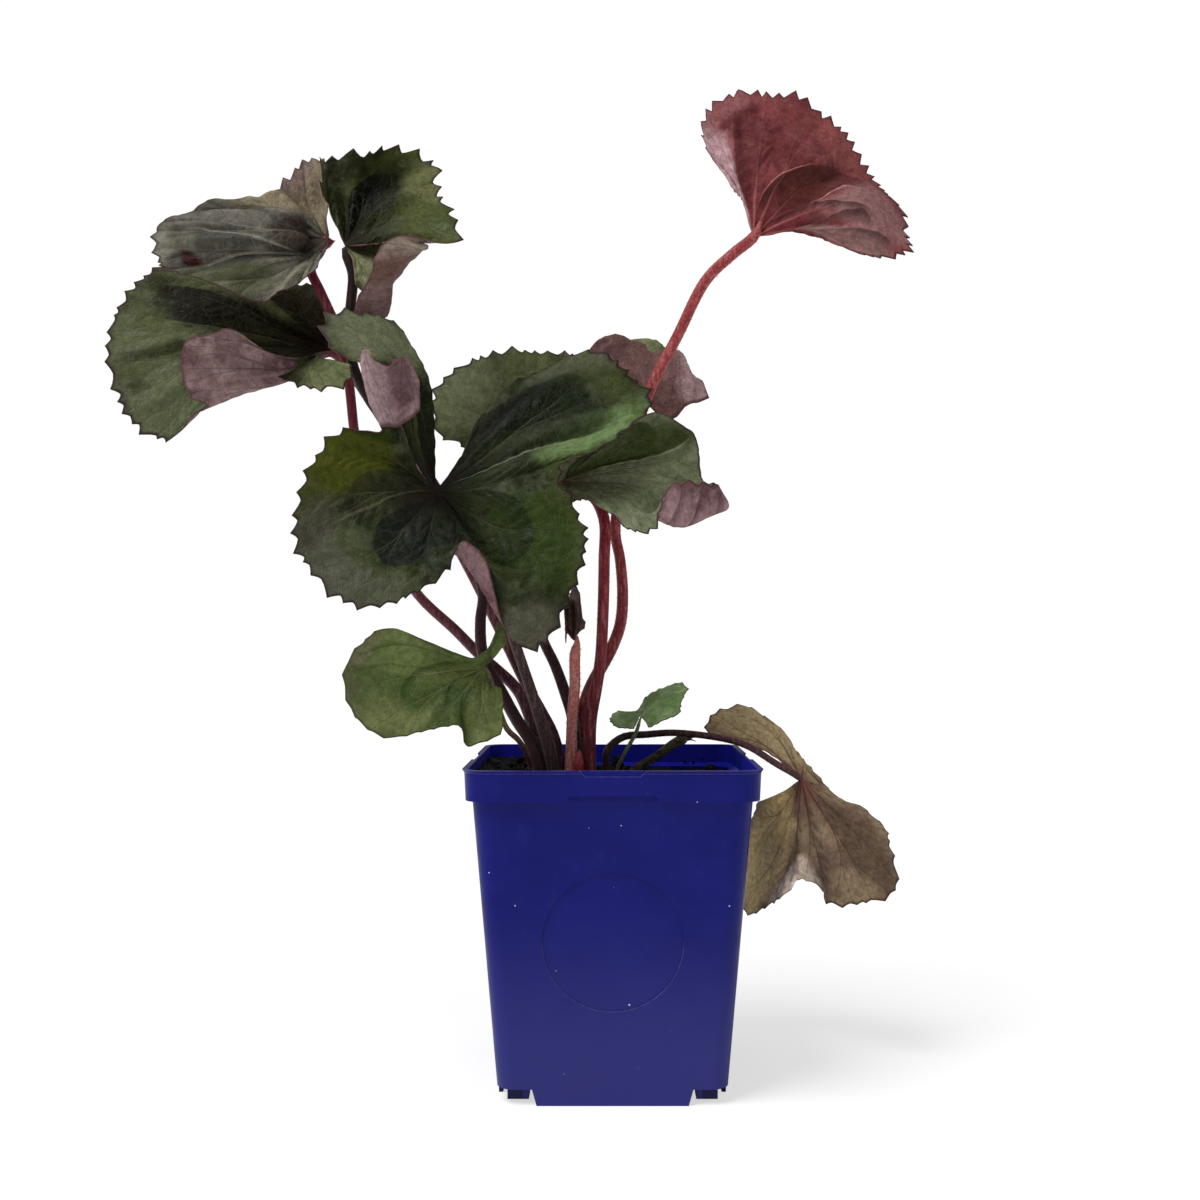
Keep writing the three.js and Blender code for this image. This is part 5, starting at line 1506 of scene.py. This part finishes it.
LOOKS["leaf_right"].update(swell=0.7, crease=0.25, side=0.3, folds=(
    (((0.1, 10.1), (0.45, 9.5), (0.97, 10.1)), 1.6, 2.4, 0.5),
))
LOOKS["leaf_broad"].update(folds=(
    (((0.15, 5.6), (0.5, 4.9), (0.9, 5.0)), -1.8, 1.4, 1.2),
    (((0.15, 7.4), (0.5, 6.6), (0.9, 6.4)), -1.4, 1.2, 1.2),
))
LOOKS["leaf_grey"].update(swell=2.2, crease=1.3, side=0.3)
LOOKS["leaf_seedling"].update(swell=0.2, crease=0.2, side=0.1, wave=0.15, ruffle=0.1, hairs=300, hair_length=0.6)
LOOKS["leaf_round"].update(swell=0.5, crease=0.4, side=0.2, hairs=300, hair_length=0.6, folds=(
    (((0.2, 3.2), (0.45, 4.5), (0.75, 6.7)), -0.9, 0.3, 1.2),
    (((0.2, 6.4), (0.45, 7.8), (0.8, 8.4)), -0.9, 0.3, 0.8),
    (((0.2, 9.7), (0.55, 9.3), (0.85, 9.2)), -0.7, 0.3, 0.7),
))
LOOKS["leaf_withered"].update(swell=0.3, crease=0.3, side=0.1, wave=0.3, ruffle=0.2, hairs=700)

STEM_COLOURS = {
    "leaf_burgundy": (colour(116, 38, 44), colour(134, 50, 52), colour(200, 130, 122)),
    "leaf_cup": (colour(48, 22, 28), colour(24, 9, 9), colour(70, 42, 44)),
    "leaf_grey": (colour(66, 34, 42), colour(104, 28, 42), colour(146, 100, 106)),
    "leaf_broad": (colour(58, 26, 34), colour(98, 36, 48), colour(150, 110, 112)),
    "leaf_front": (colour(54, 36, 38), colour(76, 50, 50), colour(124, 100, 98)),
    "leaf_behind": (colour(40, 18, 22), colour(50, 22, 26), colour(96, 62, 64)),
    "leaf_right": (colour(98, 30, 38), colour(118, 30, 42), colour(186, 120, 118)),
    "leaf_round": (colour(96, 46, 56), colour(96, 88, 62), colour(150, 120, 110)),
    "leaf_seedling": (colour(60, 50, 38), colour(100, 120, 80), colour(130, 130, 100)),
    "leaf_drooping": (colour(50, 30, 34), colour(72, 40, 44), colour(120, 100, 100)),
    "leaf_withered": (colour(164, 98, 90), colour(178, 106, 98), colour(214, 164, 154)),
}

# %% [markdown]
# ## Making the leaves
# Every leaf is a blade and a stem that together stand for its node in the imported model.

# %% The leaves
FIRST_LEAF_SEED = 101
for number, (name, leaf) in enumerate(LEAVES.items()):
    seed = FIRST_LEAF_SEED + number
    upper = leaf_material(name + " upper face", PAINTS.get(name, DARK_GREEN), False, number * 0.37)
    under = leaf_material(name + " underside", UNDERSIDES.get(name, MAUVE), True, number * 0.53)
    make_blade(name, leaf, LOOKS[name], [upper, under], seed)
    stem = stem_material(name + " stem skin", *STEM_COLOURS[name])
    make_stem(name, leaf, LOOKS[name], [stem, HAIRS], seed)

# %% [markdown]
# ## The pot
# The pot is one thin moulding in violet-blue plastic. The imported solid has its true form with sharp
# edges, so a copy of it is merged, its flat faces are joined up, and every edge gets a small round.
# The rim's edges take a second, paler material, which is a painted highlight along them. The inner
# wall above the soil takes a third with painted light, and a painted reflection of the white floor
# makes the plastic paler towards the foot, with painted shade at the foot's corners.

# %% Pot materials
POT_EDGE_ROUND = 0.35
POT_EDGE_ANGLE = math.radians(32)
RIM_LOW = 121
PANEL_MIDDLE = 61
PANEL_REACH = (25.2, 26.6)
LINING_LOW = 110
LINING_HALF = 53.2
FOOT_SHADE_FROM = 33


def speck_group():
    """Sparse small specks, such as dust and nicks, as one mask from 0 to 1."""
    tree = bpy.data.node_groups.new("specks", "ShaderNodeTree")
    tree.interface.new_socket("Point", in_out="INPUT", socket_type="NodeSocketVector")
    tree.interface.new_socket("Cell", in_out="INPUT", socket_type="NodeSocketFloat")
    tree.interface.new_socket("Share", in_out="INPUT", socket_type="NodeSocketFloat")
    tree.interface.new_socket("Specks", in_out="OUTPUT", socket_type="NodeSocketFloat")
    given = tree.nodes.new("NodeGroupInput")
    made = tree.nodes.new("NodeGroupOutput")
    cells = new_node(tree, "ShaderNodeTexVoronoi", feature="F1")
    tree.links.new(given.outputs["Point"], cells.inputs["Vector"])
    tree.links.new(calc(tree, "DIVIDE", 1.0, given.outputs["Cell"]), cells.inputs["Scale"])
    drawn = new_node(tree, "ShaderNodeSeparateColor")
    tree.links.new(cells.outputs["Color"], drawn.inputs[0])
    chosen = calc(tree, "LESS_THAN", drawn.outputs[0], given.outputs["Share"])
    size = calc(tree, "MULTIPLY", drawn.outputs[1], 0.16)
    ragged = calc(tree, "MULTIPLY", noise(tree, given.outputs["Point"], 0.0006), 0.1)
    inside = calc(tree, "LESS_THAN", calc(tree, "ADD", cells.outputs["Distance"], ragged), size)
    tree.links.new(calc(tree, "MULTIPLY", chosen, inside), made.inputs["Specks"])
    return tree


SPECKS = speck_group()


def specks(tree, point, cell, share):
    node = new_node(tree, "ShaderNodeGroup", node_tree=SPECKS)
    tree.links.new(point, node.inputs["Point"])
    node.inputs["Cell"].default_value = cell
    node.inputs["Share"].default_value = share
    return node.outputs["Specks"]


def pot_material(name, edge_highlight=False, lit=False):
    """Violet-blue plastic: cloudy, with a painted reflection of the white floor that makes it greyer towards
    the foot, painted shade at the foot's corners, white specks and a fine grain. The copy for the inner wall
    carries painted light, and the copy for the edges a painted highlight."""
    material, tree, shader = new_material(name, roughness=0.4, specular=0.14)
    point = object_place(tree)
    height = new_node(tree, "ShaderNodeSeparateXYZ")
    tree.links.new(point, height.inputs[0])
    clouds = ramp(tree, noise(tree, point, 0.035), 0.35, 0.65)
    body = mix(tree, clouds, colour(3, 6, 96), colour(8, 13, 104))
    # Painted reflection of the white floor: the plastic is painted paler towards the foot.
    painted_floor_reflection = ramp(tree, height.outputs["Z"], 0.012, 0.08, 0.92, 0.0)
    body = mix(tree, painted_floor_reflection, body, colour(42, 43, 110))
    film = ramp(tree, noise(tree, point, 0.006, detail=5, roughness=0.7), 0.5, 0.8, 0.0, 0.2)
    body = mix(tree, film, body, colour(44, 45, 118))
    # Painted light on the shaded inner wall.
    if lit:
        body = mix(tree, 0.75, body, colour(30, 34, 172))
    # Painted shade at the foot's corners, outside the middle pad.
    sideways = calc(tree, "ABSOLUTE", height.outputs["X"])
    outside = ramp(tree, sideways, FOOT_SHADE_FROM * MM, (FOOT_SHADE_FROM + 0.5) * MM)
    painted_foot_shade = calc(tree, "MULTIPLY", outside, ramp(tree, height.outputs["Z"], 0.004, 0.0065, 0.85, 0.0))
    body = mix(tree, painted_foot_shade, body, colour(16, 16, 52))
    # Painted highlight along the rounded edges.
    if edge_highlight:
        edge_highlight_share = ramp(tree, noise(tree, point, 0.003, detail=4), 0.3, 0.6, 0.35, 1.0)
        body = mix(tree, edge_highlight_share, body, colour(128, 122, 176))
    dust = specks(tree, point, 0.003, 0.16)
    body = mix(tree, dust, body, colour(188, 186, 208))
    tree.links.new(body, shader.inputs["Base Color"])
    shine = ramp(tree, noise(tree, point, 0.012), 0.3, 0.7, 0.34, 0.46)
    tree.links.new(calc(tree, "ADD", shine, calc(tree, "MULTIPLY", dust, 0.4)), shader.inputs["Roughness"])
    grain = noise(tree, point, 0.0007, detail=3)
    bump(tree, shader, grain, 0.12, 0.1 * MM)
    return material


POT_SKIN = pot_material("violet-blue plastic")
POT_EDGE_HIGHLIGHT = pot_material("violet-blue plastic with painted edge highlights", edge_highlight=True)
POT_LIT_LINING = pot_material("violet-blue plastic with painted light", lit=True)
print("pot materials:", POT_SKIN.name, "and", POT_EDGE_HIGHLIGHT.name)


# %% The pot's piece
def on_low_panel_edge(edge):
    """Whether an edge lies on the lower half of the round panel's outline, which takes the painted edge highlight.
    """
    middle = (edge.verts[0].co + edge.verts[1].co) / (2 * MM)
    reach = math.hypot(middle.x, middle.z - PANEL_MIDDLE)
    return middle.y < -40 and PANEL_REACH[0] < reach < PANEL_REACH[1] and middle.z < PANEL_MIDDLE


def on_lining(face):
    """Whether a face belongs to the inner wall above the soil."""
    middle = face.calc_center_median() / MM
    inwards = face.normal.x * middle.x + face.normal.y * middle.y < 0
    return inwards and middle.z > LINING_LOW and max(abs(middle.x), abs(middle.y)) < LINING_HALF


def make_pot():
    """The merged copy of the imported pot, with rounded edges."""
    mesh = bmesh.new()
    mesh.from_mesh(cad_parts["pot"].data)
    bmesh.ops.remove_doubles(mesh, verts=mesh.verts, dist=0.005 * MM)
    bmesh.ops.dissolve_limit(mesh, angle_limit=math.radians(0.8), verts=mesh.verts, edges=mesh.edges)
    sharp = [edge for edge in mesh.edges if edge.calc_face_angle(0) > POT_EDGE_ANGLE]
    # The rim's edges and the panel's lower outline get the painted highlight.
    rim = [edge for edge in sharp if min(vert.co.z for vert in edge.verts) > RIM_LOW * MM]
    rim += [edge for edge in sharp if on_low_panel_edge(edge)]
    rest = [edge for edge in sharp if edge not in set(rim)]
    for edges, slot in ((rim, 1), (rest, -1)):
        edges = [edge for edge in edges if edge.is_valid]
        bmesh.ops.bevel(
            mesh, geom=edges, offset=POT_EDGE_ROUND * MM, offset_type="OFFSET", segments=2,
            profile=0.5, affect="EDGES", clamp_overlap=True, material=slot,
        )
    # The inner wall above the soil takes the copy with painted light.
    for face in mesh.faces:
        if on_lining(face):
            face.material_index = 2
    piece = finish_piece("pot_moulding", mesh, [POT_SKIN, POT_EDGE_HIGHLIGHT, POT_LIT_LINING], "pot")
    piece.modifiers.new("even shading", "WEIGHTED_NORMAL")
    print(piece.name, len(piece.data.polygons), "faces")


make_pot()

# %% [markdown]
# ## The soil
# Dark peat fills the pot to just under the rim, higher at the left. Its top is a fine grid that
# follows the packed soil, with lumps, and crumbs of all sizes lie on it and in the corners.

# %% Soil materials
def soil_material():
    """Moist peat: near black, with brown fibres and a few pale grains."""
    material, tree, shader = new_material("moist peat", roughness=0.85, specular=0.12)
    point = object_place(tree)
    clumps = ramp(tree, noise(tree, point, 0.004, detail=5, roughness=0.65), 0.35, 0.7)
    body = mix(tree, clumps, colour(6, 6, 13), colour(25, 23, 32))
    warm = ramp(tree, noise(tree, shifted(tree, point, (1, 0, 0)), 0.0022, detail=4), 0.58, 0.72)
    body = mix(tree, warm, body, colour(84, 62, 46))
    grains = specks(tree, point, 0.004, 0.12)
    body = mix(tree, grains, body, colour(150, 142, 130))
    tree.links.new(body, shader.inputs["Base Color"])
    fine = noise(tree, point, 0.0011, detail=6, roughness=0.75)
    bump(tree, shader, fine, 0.9, 0.8 * MM)
    return material


SOIL = soil_material()
print("soil material:", SOIL.name)

# %% The soil's piece
SOIL_LEVEL = 115.5
SOIL_CELLS = 130
SOIL_FLOOR = 8.4
SOIL_FOOT_HALF = 41.2
SOIL_CORNER = 7.5
LEDGE_LOW = 115.3
LEDGE_HIGH = 116.8
BODY_INNER_HALF = 49.8
BAND_INNER_HALF = 52.5
CRUMB_SEED = 77
CRUMB_COUNT = 420
WALL_CRUMBS = ((32.4, 51.6, 117.3), (40.2, 51.6, 118.4), (36.0, 51.6, 116.9))


def soil_height(x, y):
    """The top of the soil as packed: it rises to the left and falls to the right."""
    rise = 4.5 * np.clip((-x - 8) / 40, 0, 1) - 2.5 * np.clip((x - 10) / 40, 0, 1)
    waves = 0.8 * np.sin(0.31 * x + 1.2) * np.cos(0.27 * y) + 0.5 * np.sin(0.11 * x + 0.43 * y)
    return SOIL_LEVEL + rise + waves


def soil_lumps(x, y):
    """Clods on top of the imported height, in millimetres."""
    point = Vector((x, y, 0))
    coarse = turbulence(point / 9, 3, False)
    fine = turbulence(point / 2.6 + Vector((7, 3, 1)), 3, False)
    return 2.2 * coarse + 0.9 * fine - 1.5


def into_round_square(x, y, half, corner):
    """Pulls a point of a square in to the square's round corner."""
    over_x, over_y = max(abs(x) - half + corner, 0), max(abs(y) - half + corner, 0)
    away = math.hypot(over_x, over_y)
    if away <= corner:
        return x, y
    back = 1 - corner / away
    return x - math.copysign(over_x * back, x), y - math.copysign(over_y * back, y)


def make_soil():
    """The block of soil with its lumpy top, and the crumbs that lie on it."""
    mesh = bmesh.new()
    bmesh.ops.create_grid(mesh, x_segments=SOIL_CELLS, y_segments=SOIL_CELLS, size=1)
    for vert in mesh.verts:
        level = float(soil_height(vert.co.x * BODY_INNER_HALF, vert.co.y * BODY_INNER_HALF))
        ledge = min(max((level - LEDGE_LOW) / (LEDGE_HIGH - LEDGE_LOW), 0), 1)
        half = BODY_INNER_HALF + (BAND_INNER_HALF - BODY_INNER_HALF) * ledge
        x, y = into_round_square(vert.co.x * half, vert.co.y * half, half, SOIL_CORNER)
        edge = max(abs(vert.co.x), abs(vert.co.y))
        lumps = soil_lumps(x, y) * (1 - max(0, edge - 0.9) / 0.1)
        vert.co = Vector((x, y, level + lumps)) * MM
    for half, low in ((BODY_INNER_HALF - 0.4, LEDGE_LOW - 3), (SOIL_FOOT_HALF, SOIL_FLOOR)):
        rim = [edge for edge in mesh.edges if edge.is_boundary]
        skirt = bmesh.ops.extrude_edge_only(mesh, edges=rim)["geom"]
        for vert in (item for item in skirt if isinstance(item, bmesh.types.BMVert)):
            x, y = (min(max(value / MM, -half), half) for value in vert.co.xy)
            x, y = into_round_square(x, y, half, SOIL_CORNER)
            vert.co = Vector((x, y, low)) * MM
    bmesh.ops.holes_fill(mesh, edges=[edge for edge in mesh.edges if edge.is_boundary])
    bmesh.ops.recalc_face_normals(mesh, faces=mesh.faces)
    draw = random.Random(CRUMB_SEED)
    for _ in range(CRUMB_COUNT):
        x, y = draw.uniform(-49, 49), draw.uniform(-49, 49)
        radius = draw.uniform(0.5, 1.5) + 2.2 * draw.random() ** 6
        add_crumb(mesh, draw, (x, y, float(soil_height(x, y)) + soil_lumps(x, y) + 0.3 * radius), radius)
    for place in WALL_CRUMBS:
        add_crumb(mesh, draw, place, draw.uniform(0.5, 0.9))
    piece = finish_piece("soil_fill", mesh, [SOIL], "soil")
    print(piece.name, len(piece.data.polygons), "faces")


def add_crumb(mesh, draw, place, radius):
    """One rough crumb of soil."""
    ball = bmesh.ops.create_icosphere(mesh, subdivisions=2 if radius > 1.2 else 1, radius=radius * MM)
    seed = Vector([draw.uniform(-50, 50) for _ in range(3)])
    squash = Vector([draw.uniform(0.6, 1.25) for _ in range(3)])
    for vert in ball["verts"]:
        swell = 1 + 0.5 * noise_at(vert.co / MM * 0.9 + seed)
        vert.co = vert.co * squash * swell + Vector(place) * MM


make_soil()

# %% [markdown]
# ## The dead stalk and the bud
# An old stalk leans out of the soil at the right and ends in torn fibres. At the foot of the pink
# stem sits a small red bud, wrapped in its own scale.

# %% Stalk and bud materials
def bark_material():
    """Dry fibres: dark brown with paler, mossy streaks."""
    material, tree, shader = new_material("dry fibres", roughness=0.85, specular=0.2)
    point = object_place(tree)
    longways = new_node(tree, "ShaderNodeMapping")
    longways.inputs["Rotation"].default_value = (0, math.radians(-25), math.radians(-45))
    longways.inputs["Scale"].default_value = (0.15, 1, 1)
    tree.links.new(point, longways.inputs["Vector"])
    lines = ramp(tree, noise(tree, longways.outputs[0], 0.0009, detail=4), 0.4, 0.68)
    body = mix(tree, lines, colour(34, 24, 20), colour(92, 78, 62))
    moss = ramp(tree, noise(tree, point, 0.004), 0.5, 0.65, 0.0, 0.5)
    body = mix(tree, moss, body, colour(74, 76, 50))
    tree.links.new(body, shader.inputs["Base Color"])
    bump(tree, shader, noise(tree, longways.outputs[0], 0.0006, detail=4), 0.8, 0.5 * MM)
    return material


def bud_material():
    """A tight young bud: deep red, with paler clouds."""
    material, tree, shader = new_material("red bud scale", roughness=0.4, specular=0.5)
    point = object_place(tree)
    lines = ramp(tree, noise(tree, point, 0.0012, detail=3), 0.4, 0.7)
    body = mix(tree, lines, colour(128, 22, 34), colour(172, 62, 66))
    tree.links.new(body, shader.inputs["Base Color"])
    bump(tree, shader, noise(tree, point, 0.0008), 0.4, 0.2 * MM)
    return material


BARK = bark_material()
BUD_SKIN = bud_material()
print("stalk and bud materials:", BARK.name, "and", BUD_SKIN.name)

# %% The stalk and the bud
STALK_ROUTE = ((6, 7, 113), (8, 9, 117), (18, 18, 122.5), (25.5, 27, 126.5), (31.5, 33, 129))
STALK_FIBRES = ((4, 2, 1.5), (3, 4.5, -0.5), (4.5, 1, -1.5), (3.5, 3.4, 1.9), (5.2, 3.2, 0.2))
BUD_ROUTE = ((-13.2, -14, 114), (-13, -14, 121), (-12.8, -14.2, 128.5))


def tube_places(route, radii, sides, rows, ridge=0.0, seed=0.0):
    """A round tube along a route; radii is a function of the share of its length."""
    shares = np.linspace(0, 1, rows + 1)
    path = along_curve(route, shares)[0]
    across, backs = stem_frames(path)
    angles = np.linspace(0, 2 * math.pi, sides + 1)[:, None]
    rough = 1 + ridge * (np.cos(3 * angles + 5 * shares + seed) + np.cos(5 * angles - 9 * shares + 2 * seed))
    radius = (np.array([radii(share) for share in shares])[None] * rough)[..., None]
    return path + (np.cos(angles)[..., None] * across + np.sin(angles)[..., None] * backs) * radius


def make_tube(name, places, material, node=None, extra=()):
    """One closed piece from a tube, and any more tubes that grow from it."""
    mesh = laid_grid(places)
    for more in extra:
        side = laid_grid(more)
        data = bpy.data.meshes.new("part")
        side.to_mesh(data)
        side.free()
        mesh.from_mesh(data)
        bpy.data.meshes.remove(data)
    close_tube(mesh)
    bmesh.ops.recalc_face_normals(mesh, faces=mesh.faces)
    drop_marks(mesh)
    piece = finish_piece(name, mesh, [material], node)
    print(piece.name, len(piece.data.polygons), "faces")
    return piece


def make_stalk():
    """The old stalk with its torn end."""
    radii = lambda share: 1.5 + 0.7 * share - 0.9 * max(0, share - 0.94) / 0.06
    places = tube_places(STALK_ROUTE, radii, 20, 60, 0.07)
    end = np.array(STALK_ROUTE[-1])
    fibres = []
    for number, fibre in enumerate(STALK_FIBRES):
        route = (end - np.array((2.2, 2.2, 1)), end + 0.4 * np.array(fibre), end + np.array(fibre))
        fibres.append(tube_places(route, lambda share: 0.85 * (1 - share) + 0.12, 7, 10, 0.1, number))
    make_tube("stalk_torn", places, BARK, "dead_stalk", fibres)


def make_bud():
    """The bud: a small pointed spindle with faint ridges."""
    places = tube_places(BUD_ROUTE, lambda share: 0.05 + 1.9 * math.sin(math.pi * share ** 1.1) ** 0.8, 16, 16, 0.05)
    make_tube("bud_red", places, BUD_SKIN)


make_stalk()
make_bud()
